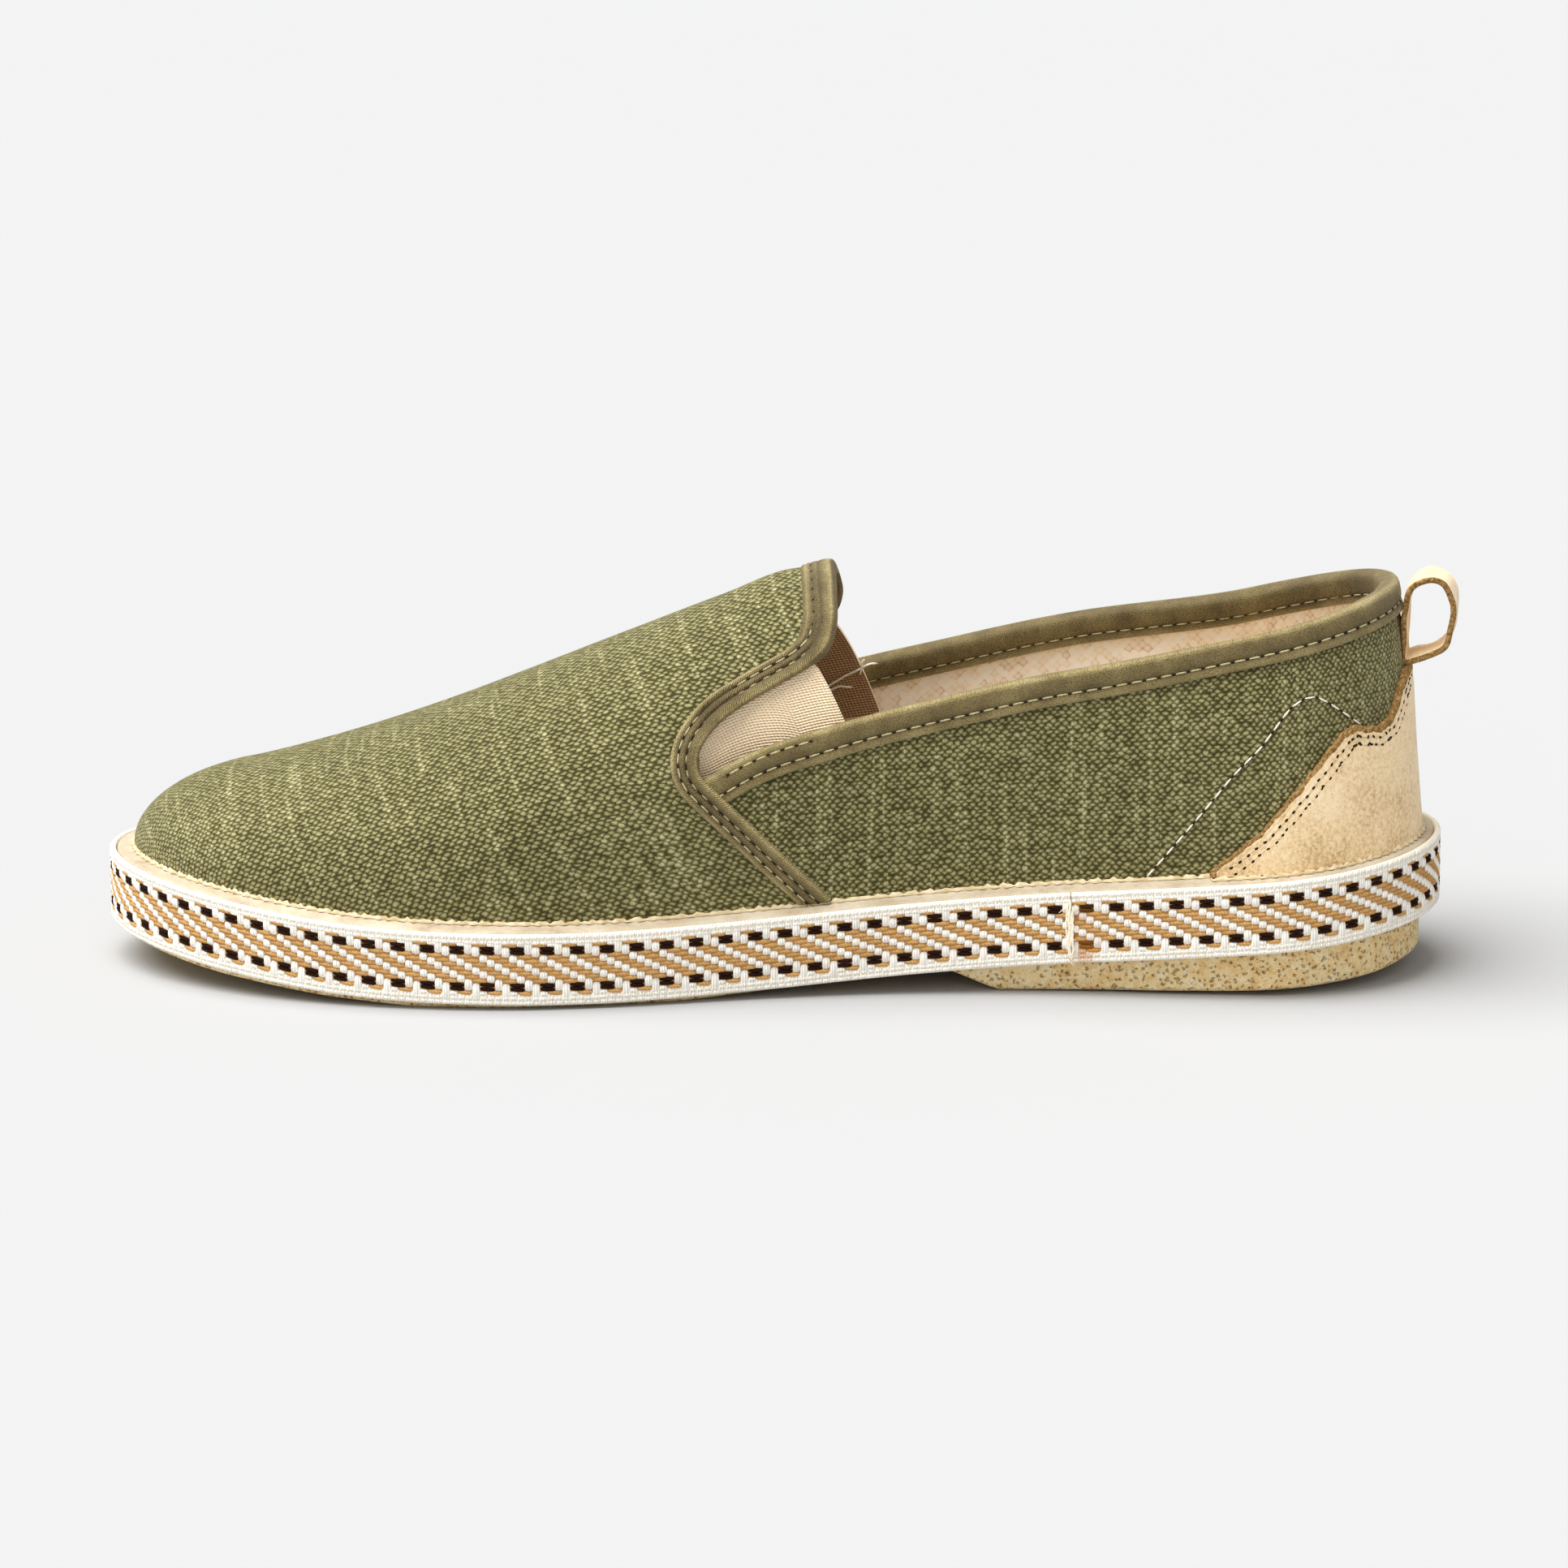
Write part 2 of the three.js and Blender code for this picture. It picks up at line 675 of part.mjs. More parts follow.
function opening() {
  const side = (x, up) => {
    const base = featherAt(x)
    return new THREE.Vector2(x, base + (ridgeAt(x) - base) * up)
  }
  const shape = new THREE.Shape()
  const top = ridgeAt(0) + openingMargin
  const points = [new THREE.Vector2(-openingMargin, side(0, toplineTable[0].up).y)]
  const goreFront = vampEdge[goreStart].x * length
  const steps = 40
  for (let k = 0; k <= steps; k += 1) {
    const x = goreFront * k / steps
    points.push(side(x, smooth(toplineTable, 'at', 'up', x / length)))
  }
  const edge = vampEdge.slice(goreStart).map((spot) => side(spot.x * length, spot.y))
  points.push(...edge)
  const tabEnd = edge[edge.length - 1]
  points.push(new THREE.Vector2(tabEnd.x, top), new THREE.Vector2(-openingMargin, top))
  shape.setFromPoints(points)
  const geometry = new THREE.ExtrudeGeometry(shape, { depth: 2 * ballWidth, bevelEnabled: false })
  geometry.rotateX(Math.PI / 2)
  geometry.translate(0, ballWidth, 0)
  return geometry
}

// Upper: one hollow shell, open underneath
const soleDrop = 4

function upper() {
  const outside = toManifold(lastForm(0, 0))
  const inside = toManifold(lastForm(-wall, soleDrop))
  const cuts = [opening(), edgeStrip(collarLine(), 1), edgeStrip(vampLine(goreStart), -1)]
  return fromManifold(cuts.reduce((body, cut) => body.subtract(toManifold(cut)), outside.subtract(inside)))
}

// Folded strip's section: a leg outside, a fold round the cut edge and a leg inside.
function foldedProfile(width) {
  const near = clearance
  const far = clearance + bindingThickness
  return [
    [-width, far], [-width / 2, far], [far, far],
    [far, -wall - far], [-width / 2, -wall - far], [-width, -wall - far],
    [-width, -wall - near], [-width / 2, -wall - near], [near, -wall - near],
    [near, near], [-width / 2, near], [-width, near],
  ]
}

// Binding of the quarters, from the front of one gore round the heel to the front of the other
function collarBinding() {
  const profile = foldedProfile(collarBindingWidth)
  return band(collarLine(), 1, () => profile)
}

// Edge binding of the vamp: on the quarter it is a flat strip, along the gore its edge turns down
// over the gore's face, and round the tab it goes down the whole cut edge
function vampBinding() {
  const near = clearance
  const far = clearance + bindingThickness
  const line = vampLine(0)
  const tabStep = vampEdge.findIndex((spot) => spot.y > tabStart)
  return band(line, -1, (k) => {
    const step = Math.min(k, line.length - 1 - k)
    const overGore = step < tabStep ? clearance - goreDepth : -wall
    const lip = step < goreStart + 2 ? near - 0.05 : overGore
    return [
      [-vampBindingWidth, far], [-vampBindingWidth / 2, far], [far, far], [far, lip],
      [near, lip], [near, near], [-vampBindingWidth / 2, near], [-vampBindingWidth, near],
    ]
  })
}

// Elastic gore in a notch, clear of the bindings. Its ends are places along the length, low at the
// quarter and high at the vamp, and its front edge bows forward between them.
const goreEnds = {
  inner: { rearLow: 0.447, rearHigh: 0.468, frontLow: 0.54, frontHigh: 0.542, bow: 0.006 },
  outer: { rearLow: 0.437, rearHigh: 0.463, frontLow: 0.54, frontHigh: 0.542, bow: 0.006 },
}

function gore(name) {
  const lowMargin = clearance + bindingThickness + clearance
  const highMargin = 2 * clearance
  const vampSide = vampEdgeTable.filter(({ up }) => up > 0.55 && up < 0.79).reverse()
  const { rearLow, rearHigh, frontLow, frontHigh, bow } = goreEnds[name]
  const mirror = name === 'outer'
  const spot = (i, j) => {
    const rear = THREE.MathUtils.lerp(rearLow, rearHigh, j)
    const front = THREE.MathUtils.lerp(frontLow, frontHigh, j) + bow * 4 * j * (1 - j)
    const x = THREE.MathUtils.lerp(rear, front, i) * length
    const low = placeOf(x, smooth(toplineTable, 'at', 'up', x / length))
    const high = placeOf(x, smooth(vampSide, 'at', 'up', x / length))
    const lowPoint = lastPoint(low.station, low.angle)
    const highPoint = lastPoint(high.station, high.angle)
    const height = lowPoint.distanceTo(highPoint)
    const share = THREE.MathUtils.lerp(lowMargin / height, 1 - highMargin / height, j)
    const angle = THREE.MathUtils.lerp(low.angle, high.angle, share)
    return { station: mirror ? 2 - low.station : low.station, angle }
  }
  return sheet(8, 4, spot, -goreDepth - goreThickness, -goreDepth)
}

// Suede counter laid over the heel
function heelCounter() {
  const last = counterTable[counterTable.length - 1].turn
  const spot = (i, j) => {
    const turn = THREE.MathUtils.lerp(-last, last, i)
    const station = heelShare * turn / 90
    const up = smooth(counterTable, 'turn', 'up', Math.abs(turn))
    const place = ridgeTable[0]
    const top = angleOf(up, place.round, place.tall)
    return { station, angle: THREE.MathUtils.lerp(0.004, top, j) }
  }
  return sheet(44, 6, spot, clearance, clearance + counterThickness)
}

// Leather loop behind the top of the heel
function pullLoop() {
  const top = counterTable[0].up
  const place = ridgeTable[0]
  const foot = offsetPoint(0, angleOf(top, place.round, place.tall), 0)
  const gap = clearance + bindingThickness + clearance
  const low = new THREE.Vector3(foot.x - gap - loopThickness / 2, 0, foot.z + clearance + loopThickness / 2)
  const curve = new THREE.CatmullRomCurve3(loopTable.map(({ back, high }) => (
    new THREE.Vector3(low.x - back * loopDepth, 0, low.z + high * loopHeight))), true)
  const steps = 40
  const outer = []
  const hole = []
  for (let k = 0; k < steps; k += 1) {
    const spot = curve.getPoint(k / steps)
    const along = curve.getTangent(k / steps)
    const away = new THREE.Vector2(-along.z, along.x).multiplyScalar(loopThickness / 2)
    outer.push(new THREE.Vector2(spot.x + away.x, spot.z + away.y))
    hole.push(new THREE.Vector2(spot.x - away.x, spot.z - away.y))
  }
  const area = THREE.ShapeUtils.area(outer)
  const inside = Math.abs(area) > Math.abs(THREE.ShapeUtils.area(hole)) ? hole : outer
  const outside = inside === hole ? outer : hole
  const shape = new THREE.Shape(outside)
  shape.holes.push(new THREE.Path(inside))
  const geometry = new THREE.ExtrudeGeometry(shape, { depth: loopWidth, bevelEnabled: false })
  geometry.rotateX(Math.PI / 2)
  geometry.translate(0, loopWidth / 2, 0)
  return geometry
}

const shoe = new THREE.Group()

function add(name, geometry, colour, roughness) {
  const material = new THREE.MeshStandardMaterial({ color: colour, roughness, metalness: 0 })
  const mesh = new THREE.Mesh(geometry, material)
  mesh.name = name
  shoe.add(mesh)
}

add('outsole', outsole(), 0xc0a172, 0.9)
add('midsole', midsole(), 0xf6e8d0, 0.6)
add('foxing_tape', foxingTape(), 0xe8dcc4, 0.85)
add('insole', insole(), 0xcdb48c, 0.9)
add('upper', upper(), 0x938b66, 0.95)
add('vamp_binding', vampBinding(), 0x88774f, 0.9)
add('collar_binding', collarBinding(), 0x88774f, 0.9)
add('gore_inner', gore('inner'), 0xdfc7a5, 0.8)
add('gore_outer', gore('outer'), 0xdfc7a5, 0.8)
add('heel_counter', heelCounter(), 0xdbc29a, 0.95)
add('pull_loop', pullLoop(), 0xdbc29a, 0.8)

// The shoe stands on the origin, at the middle of its box's floor.
const box = new THREE.Box3().setFromObject(shoe)
const middle = box.getCenter(new THREE.Vector3())
shoe.position.set(-middle.x, -middle.y, -box.min.z)

export default shoe
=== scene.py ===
import math

import bmesh
import bpy
import numpy as np
from mathutils import Matrix, Vector


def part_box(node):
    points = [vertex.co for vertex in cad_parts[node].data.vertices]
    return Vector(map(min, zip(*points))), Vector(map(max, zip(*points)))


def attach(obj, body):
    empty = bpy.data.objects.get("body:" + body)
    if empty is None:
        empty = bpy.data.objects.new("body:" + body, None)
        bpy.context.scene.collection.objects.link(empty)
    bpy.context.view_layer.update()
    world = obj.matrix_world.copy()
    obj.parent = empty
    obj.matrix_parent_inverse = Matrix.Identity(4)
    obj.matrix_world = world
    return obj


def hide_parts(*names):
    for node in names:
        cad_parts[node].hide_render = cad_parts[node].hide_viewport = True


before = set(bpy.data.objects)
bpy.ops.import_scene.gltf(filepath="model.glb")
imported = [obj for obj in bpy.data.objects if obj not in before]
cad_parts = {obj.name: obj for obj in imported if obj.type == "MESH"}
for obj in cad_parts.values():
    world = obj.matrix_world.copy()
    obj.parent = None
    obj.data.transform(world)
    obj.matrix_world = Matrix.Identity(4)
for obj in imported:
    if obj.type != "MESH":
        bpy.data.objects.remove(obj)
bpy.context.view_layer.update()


# Camera: the photograph's view, from the shoe's inner side and a little above, with a long lens.
camera_target = Vector((-0.0014, 0.0, 0.0376))
camera_azimuth = math.radians(182.5)
camera_elevation = math.radians(13.5)
camera_roll = math.radians(-0.25)
camera_distance = 1.5

camera_back = Vector((
    math.sin(camera_azimuth) * math.cos(camera_elevation),
    -math.cos(camera_azimuth) * math.cos(camera_elevation),
    math.sin(camera_elevation)))
lens = bpy.data.cameras.new("camera")
lens.lens = 158.06
lens.sensor_width = 36
camera = bpy.data.objects.new("camera", lens)
camera.matrix_world = (
    Matrix.Translation(camera_target + camera_distance * camera_back)
    @ camera_back.to_track_quat("Z", "Y").to_matrix().to_4x4()
    @ Matrix.Rotation(camera_roll, 4, "Z"))
bpy.context.collection.objects.link(camera)
bpy.context.scene.camera = camera


# Studio: a pale seamless floor under a pale sky, a wide soft light overhead, a little towards the
# toe, and two weaker ones that open the shaded sides. None of it belongs to the shoe.
floor_size = 9.0
light_table = {
    "name": ["overhead", "front_fill", "back_fill"],
    "place": [(0.42, 0.05, 1.0), (0.1, 1.0, 0.5), (-0.7, -0.5, 0.8)],
    "spread": [60, 90, 90],
    "power": [5.2, 0.9, 0.3],
}


def linear(colour):
    """Linear red, green, blue and alpha of an sRGB hex colour."""
    parts = [int(colour[k:k + 2], 16) / 255 for k in (1, 3, 5)]
    return tuple(c / 12.92 if c <= 0.04045 else ((c + 0.055) / 1.055) ** 2.4 for c in parts) + (1.0,)


def add_node(tree, kind, inputs=None, **settings):
    """Adds a node, sets its properties, and sets each input or links it to the socket, or to the first
    socket of the node, that is given for it."""
    made = tree.nodes.new("ShaderNode" + kind)
    for name, value in settings.items():
        setattr(made, name, value)
    for name, value in (inputs or {}).items():
        value = value.outputs[0] if isinstance(value, bpy.types.Node) else value
        if isinstance(value, bpy.types.NodeSocket):
            tree.links.new(value, made.inputs[name])
        else:
            made.inputs[name].default_value = value
    return made


def weighed(tree, total, *parts):
    """Adds each further value times its weight to a first value."""
    for value, weight in parts:
        total = add_node(tree, "Math", {0: value, 1: weight, 2: total}, operation="MULTIPLY_ADD")
    return total


def wave(tree, operation, *parts):
    """Sine or cosine of a weighed sum."""
    return add_node(tree, "Math", {0: weighed(tree, 0.0, *parts)}, operation=operation)


def ramp(tree, factor, stops, low=0.0, high=1.0):
    """Colour ramp over a factor from low to high, with stops of place and hex colour."""
    made = add_node(tree, "ValToRGB", {"Fac": add_node(tree, "MapRange", {0: factor, 1: low, 2: high})})
    elements = made.color_ramp.elements
    elements.remove(elements[1])
    elements[0].position, elements[0].color = stops[0][0], linear(stops[0][1])
    for place, colour in stops[1:]:
        elements.new(place).color = linear(colour)
    return made


def new_material(name):
    """An empty node material, its tree and the socket of its place on the object."""
    material = bpy.data.materials.new(name)
    material.use_nodes = True
    material.node_tree.nodes.clear()
    return material, material.node_tree, add_node(material.node_tree, "TexCoord").outputs["Object"]


def finish_material(tree, colour, roughness, specular, relief=None, more=None):
    """Closes a material with a Principled shader. relief is a bump's strength, depth in metres and
    height, and more holds further inputs by name."""
    inputs = {"Base Color": colour, "Roughness": roughness, "Specular IOR Level": specular, **(more or {})}
    if relief:
        inputs["Normal"] = add_node(tree, "Bump", dict(zip(("Strength", "Distance", "Height"), relief)))
    add_node(tree, "OutputMaterial", {"Surface": add_node(tree, "BsdfPrincipled", inputs)})


# Matte paper of the backdrop
paper, tree, _ = new_material("matte_paper")
finish_material(tree, linear("#b2b2b2"), 1.0, 0.1)
floor_mesh = bpy.data.meshes.new("studio_floor")
floor_mesh.from_pydata([(x * floor_size, y * floor_size, 0) for x, y in ((-1, -1), (1, -1), (1, 1), (-1, 1))],
                       [], [(0, 1, 2, 3)])
floor_mesh.materials.append(paper)
floor = bpy.data.objects.new("studio_floor", floor_mesh)
bpy.context.collection.objects.link(floor)

world = bpy.data.worlds.new("pale_sky")
world.use_nodes = True
world.node_tree.nodes.clear()
sky = add_node(world.node_tree, "Background", {"Color": (0.985, 0.99, 1.0, 1.0), "Strength": 0.3})
add_node(world.node_tree, "OutputWorld", {"Surface": sky})
bpy.context.scene.world = world
bpy.context.scene.view_settings.view_transform = "Standard"
for name, place, spread, power in zip(*light_table.values()):
    lamp = bpy.data.lights.new(name, "SUN")
    lamp.angle = math.radians(spread)
    lamp.energy = power
    holder = bpy.data.objects.new(name, lamp)
    holder.matrix_world = Vector(place).to_track_quat("Z", "Y").to_matrix().to_4x4()
    bpy.context.collection.objects.link(holder)


# Crepe outsole: a sheet of natural crepe rubber, cut to shape and cemented under the midsole, with
# a raised block under the heel. Its sides are cut, so they show the crumbly, pitted grain.
sole_length = 290.0
ball_width = 103.0
heel_radius = 40.0
toe_radius = 86.0
heel_share = 0.2
toe_share = 0.62
toe_rise = 7.7
heel_lift = 13.0
tape_lift = 1.1
heel_bevel = 4.4
arch_rise = 4.4
crepe_inset = 2.0
heel_inset = 2.2
outsole_sink = 2.0
outsole_round = 1.2
least_side = 0.6
sole_stations = np.arange(480) / 240

plan_table = {
    "at": [0, 0.138, 0.2, 0.3, 0.4, 0.5, 0.6, 0.66, 0.703, 1],
    "inner": [0.369, 0.369, 0.36, 0.337, 0.338, 0.38, 0.448, 0.477, 0.485, 0.485],
    "outer": [0.369, 0.369, 0.374, 0.385, 0.408, 0.442, 0.484, 0.504, 0.515, 0.515],
}
lift_table = {
    "at": [0, 0.05, 0.1, 0.2, 0.3, 0.4, 0.5, 0.6, 0.7, 0.8, 0.9, 1],
    "heel": [1, 0.88, 0.77, 0.6, 0.44, 0.25, 0.08, 0, 0, 0, 0, 0],
    "toe": [0, 0, 0, 0, 0, 0, 0, 0, 0.01, 0.14, 0.51, 1],
}
tread_table = {
    "at": [0, 0.05, 0.1, 0.16, 0.33, 0.365, 0.41, 0.46, 0.51, 0.56, 0.76, 0.82, 0.9, 1],
    "rear": [1, 0.6, 0.37, 0.2, 0, 0, 0, 0, 0, 0, 0, 0, 0, 0],
    "arch": [0, 0, 0, 0, 0, 1, 0.84, 0.5, 0.24, 0, 0, 0, 0, 0],
    "toe": [0, 0, 0, 0, 0, 0, 0, 0, 0, 0, 0, 0.14, 0.46, 0.96],
    "slim": [1, 1, 1, 1, 0.9, 0.75, 0.5, 0.25, 0.1, 0, 0, 0, 0, 0],
}
tape_low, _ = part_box("foxing_tape")
shoe_origin = np.array([tape_low[0], tape_low[1] + plan_table["outer"][-1] * ball_width / 1000, 0.0])


def cubic(table, column, at, key="at"):
    """Value of a table's column: a cubic between rows, whose slope at a row is the rise from the row
    before to the row after over their distance."""
    keys = np.array(table[key], float)
    values = np.array(table[column], float)
    at = np.clip(at, keys[0], keys[-1])
    row = np.clip(np.searchsorted(keys, at, side="left") - 1, 0, len(keys) - 2)
    before = np.maximum(np.arange(len(keys)) - 1, 0)
    after = np.minimum(np.arange(len(keys)) + 1, len(keys) - 1)
    slopes = (values[after] - values[before]) / (keys[after] - keys[before])
    span = keys[row + 1] - keys[row]
    t = (at - keys[row]) / span
    rise = slopes[row] * span
    fall = slopes[row + 1] * span
    bend = values[row + 1] - values[row]
    return values[row] + t * rise + t ** 2 * (3 * bend - 2 * rise - fall) + t ** 3 * (rise + fall - 2 * bend)


def lift_at(x):
    """Height of the tape's lower edge: the heel's lift and the toe's spring, each by its table."""
    at = x / sole_length
    return tape_lift + heel_lift * cubic(lift_table, "heel", at) + toe_rise * cubic(lift_table, "toe", at)


def outline(station, inset):
    """Plan of the sole moved inwards by an inset. station goes from 0 at the heel's back along the
    inner side to 1 at the toe tip and back along the outer side to 2; the heel and the toe are half
    ellipses and the stretch between them follows the half widths in the table."""
    turn = np.mod(station, 2)
    side = np.where(turn <= 1, 1.0, -1.0)
    share = np.where(turn <= 1, turn, 2 - turn)
    at_heel, at_toe = share < heel_share, share > toe_share
    heel_turn = np.clip(share / heel_share, 0, 1) * math.pi / 2
    toe_turn = np.clip((1 - share) / (1 - toe_share), 0, 1) * math.pi / 2
    along = (share - heel_share) / (toe_share - heel_share)
    x = heel_radius + along * (sole_length - toe_radius - heel_radius)
    x = np.where(at_heel, heel_radius - (heel_radius - inset) * np.cos(heel_turn), x)
    x = np.where(at_toe, sole_length - toe_radius + (toe_radius - inset) * np.cos(toe_turn), x)
    swell = np.where(at_heel, np.sin(heel_turn), np.where(at_toe, np.sin(toe_turn), 1.0))
    at = x / sole_length
    half = np.where(side > 0, cubic(plan_table, "inner", at), cubic(plan_table, "outer", at))
    return x, side * (half * ball_width - inset) * swell


def ring_faces(rings, count):
    """Quads between successive rings of points, each ring closed on itself."""
    ring, spot = np.meshgrid(np.arange(rings - 1), np.arange(count), indexing="ij")
    after = (spot + 1) % count
    quads = [ring * count + spot, (ring + 1) * count + spot, (ring + 1) * count + after, ring * count + after]
    return np.stack([q.ravel() for q in quads], axis=1)


def cap_faces(count, start):
    """Faces across a ring of the sole that starts at the heel's back: each inner point with its outer one."""
    k = np.arange(1, count // 2 - 1)
    across = np.stack([k, count - k, count - k - 1, k + 1], axis=1) + start
    ends = np.array([[0, count - 1, 1], [count // 2, count // 2 - 1, count // 2 + 1]]) + start
    return across.tolist() + ends.tolist()


def turned_out(points, faces):
    """Faces turned so that the closed body they bound has a positive volume."""
    volume = 0.0
    for size in {len(face) for face in faces}:
        face = np.array([f for f in faces if len(f) == size])
        for k in range(1, size - 1):
            p, q, r = (points[face[:, corner]] for corner in (0, k, k + 1))
            volume += np.einsum("ij,ij->i", p, np.cross(q, r)).sum()
    return faces if volume > 0 else [f[::-1] for f in faces]


def make_piece(name, points, faces, materials, slot, replaced=(), uv=None, indices=None, values=None,
               crease=60):
    """Object of a piece from points in the last's millimetres. uv goes to the map cloth, indices are
    the faces' materials, values are point attributes by name, and crease is the sharpest smooth angle."""
    mesh = bpy.data.meshes.new(name)
    places = np.asarray(points) / 1000 + shoe_origin
    mesh.from_pydata(places.tolist(), [], [list(map(int, f)) for f in faces])
    for material in materials:
        mesh.materials.append(material)
    if indices is not None:
        mesh.polygons.foreach_set("material_index", np.asarray(indices, np.int32))
    if uv is not None:
        corner = np.empty(len(mesh.loops), np.int32)
        mesh.loops.foreach_get("vertex_index", corner)
        mesh.uv_layers.new(name="cloth").data.foreach_set("uv", np.asarray(uv, np.float32)[corner].ravel())
    for key, column in (values or {}).items():
        kind, part = ("FLOAT", "value") if column.ndim == 1 else ("FLOAT_COLOR", "color")
        mesh.attributes.new(key, kind, "POINT").data.foreach_set(part, column.astype(np.float32).ravel())
    mesh.shade_smooth()
    mesh.set_sharp_from_angle(angle=math.radians(crease))
    mesh.update()
    piece = bpy.data.objects.new(name, mesh)
    bpy.context.collection.objects.link(piece)
    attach(piece, "root")
    if replaced:
        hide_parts(*replaced)
    return piece


def ring(inset, height):
    """Points round the sole at an inset and a height that are both given for the outline's x."""
    edge, _ = outline(sole_stations, 0.0)
    x, y = outline(sole_stations, inset(edge) if callable(inset) else inset)
    return np.stack([x, y, height(x)], axis=1)


def plate(rings):
    """Closed body from rings round the sole, capped below and above."""
    points = np.concatenate(rings)
    count = len(sole_stations)
    upper_cap = [face[::-1] for face in cap_faces(count, (len(rings) - 1) * count)]
    faces = ring_faces(len(rings), count).tolist() + cap_faces(count, 0) + upper_cap
    return points, turned_out(points, faces)


def crepe_top(x):
    """Height at which the crepe meets the midsole."""
    return lift_at(x) + outsole_sink


def tread_at(x, above=0.0):
    """Underside of the crepe over the floor, or a height above it that stays under the crepe's top:
    heel bevel, arch and toe spring, each straight between rows."""
    rear, arch, toe = (
        np.interp(x / sole_length, tread_table["at"], tread_table[key]) for key in ("rear", "arch", "toe"))
    height = heel_bevel * rear + arch_rise * arch + toe_rise * toe + above
    return np.minimum(height, crepe_top(x) - least_side)


def crepe_side(x):
    """Inset of the crepe's side: narrower under the heel, with the unevenness of a hand cut."""
    wander = 0.12 * np.sin(x / 9.0) + 0.08 * np.sin(x / 3.7 + 1.0)
    slim = np.interp(x / sole_length, tread_table["at"], tread_table["slim"])
    return crepe_inset + heel_inset * slim + wander


crepe_rings = []
for turn in np.linspace(0, math.pi / 2, 5):
    crepe_rings.append(ring(
        lambda x, t=turn: crepe_side(x) + outsole_round * (1 - math.sin(t)),
        lambda x, t=turn: tread_at(x, outsole_round * (1 - math.cos(t)))))
for share in (0.33, 0.66, 1.0):
    crepe_rings.append(ring(
        crepe_side, lambda x, s=share: tread_at(x, outsole_round) * (1 - s) + crepe_top(x) * s))

# Natural crepe rubber: milky tan and matte, crumbly, with pits of about a millimetre in soft grains.
crepe, tree, place = new_material("natural_crepe_rubber")
sway = add_node(tree, "TexNoise", {"Vector": place, "Scale": 420.0, "Detail": 4.0, "Roughness": 0.7})
bent = add_node(tree, "VectorMath", {0: sway.outputs["Color"], 1: (0.0022, 0.0022, 0.0022), 2: place},
                operation="MULTIPLY_ADD")
pits = add_node(tree, "TexVoronoi", {"Vector": bent, "Scale": 900.0, "Randomness": 1.0})
depth = add_node(tree, "MapRange", {0: pits, 1: 0.05, 2: 0.4}, interpolation_type="SMOOTHSTEP")
stain = add_node(tree, "TexNoise", {"Vector": place, "Scale": 38.0, "Detail": 3.0})
colour = ramp(tree, weighed(tree, sway, (stain, 0.3), (depth, 0.22)), [
    (0.54, "#b98f52"), (0.68, "#e8c07e"), (0.82, "#f8d799"), (1.0, "#fdebbe")])
finish_material(tree, colour, 0.85, 0.35, (1.0, 0.00075, weighed(tree, depth, (sway, 1.6))), {"IOR": 1.52})

make_piece("crepe_outsole", *plate(crepe_rings), [crepe], "crepe", ["outsole"], crease=40)


# Midsole: moulded cream rubber body of the sole. Its ledge stands out round the upper, which is
# cemented down on it, and its side is hidden under the woven tape.
tape_height = 15.5
tape_thickness = 1.2
clearance = 0.3
ledge_width = 3.8
ledge_rise = 1.3
ledge_round = 0.75
wall = 2.0
recess_depth = 3.7
tape_inset = tape_thickness + clearance
feather_inset = tape_inset + ledge_width
feather_height = tape_height + ledge_rise
recess_inset = feather_inset + wall + clearance


def feather_at(x):
    """Height of the line where the upper meets the ledge."""
    return lift_at(x) + feather_height


def rim_at(x):
    """Top of the ledge beside the upper."""
    return feather_at(x) - clearance


ledge_rings = [
    ring(tape_inset, lambda x: crepe_top(x) + clearance),
    ring(tape_inset, lambda x: lift_at(x) + tape_height - 0.5),
]
for turn in np.linspace(0.15, math.pi / 2, 6):
    ledge_rings.append(ring(
        tape_inset + ledge_round * (1 - math.cos(turn)),
        lambda x, t=turn: lift_at(x) + tape_height - 0.55 + ledge_round * math.sin(t)))
for share in (0.3, 0.6, 0.85, 1.0):
    ledge_rings.append(ring(
        tape_inset + ledge_round + (ledge_width - 0.6) * share,
        lambda x, s=share: lift_at(x) + tape_height + 0.2 + (ledge_rise - clearance - 0.2) * s ** 1.4))
ledge_rings.append(ring(recess_inset, rim_at))
ledge_rings.append(ring(recess_inset, lambda x: rim_at(x) - recess_depth))

# Cream rubber: smooth and slightly yellowed, with faint mottling and dust rubbed into its top.
cream, tree, place = new_material("cream_moulded_rubber")
mottle = add_node(tree, "TexNoise", {"Vector": place, "Scale": 120.0, "Detail": 6.0, "Roughness": 0.6})
speck = add_node(tree, "TexNoise", {"Vector": place, "Scale": 900.0, "Detail": 2.0})
tone = weighed(tree, mottle, (speck, 0.25))
colour = ramp(tree, tone, [(0.42, "#aa967b"), (0.58, "#bdad93"), (0.78, "#ccbfa8")])
finish_material(tree, colour, 0.6, 0.4, (0.4, 0.00025, tone), {
    "IOR": 1.52, "Subsurface Weight": 0.08, "Subsurface Radius": (0.002, 0.0012, 0.0006)})

make_piece("midsole_ledge", *plate(ledge_rings), [cream], "midsole_rubber", ["midsole"], crease=50)


# Woven tape: cotton tape laid round the midsole and butted on the inner side. White floats step down
# in a four-thread twill over tan ones, between two rows of dark blocks and two white selvedges.
tape_column = 1.6
tape_row = tape_height / 17.5
tape_joint_at = 80.0
joint_gap = 0.35
strip_steps = 700
white_yarn, tan_yarn, dark_yarn, orange_stain = "#fffaf0", "#cf9f62", "#2a150b", "#c8812f"

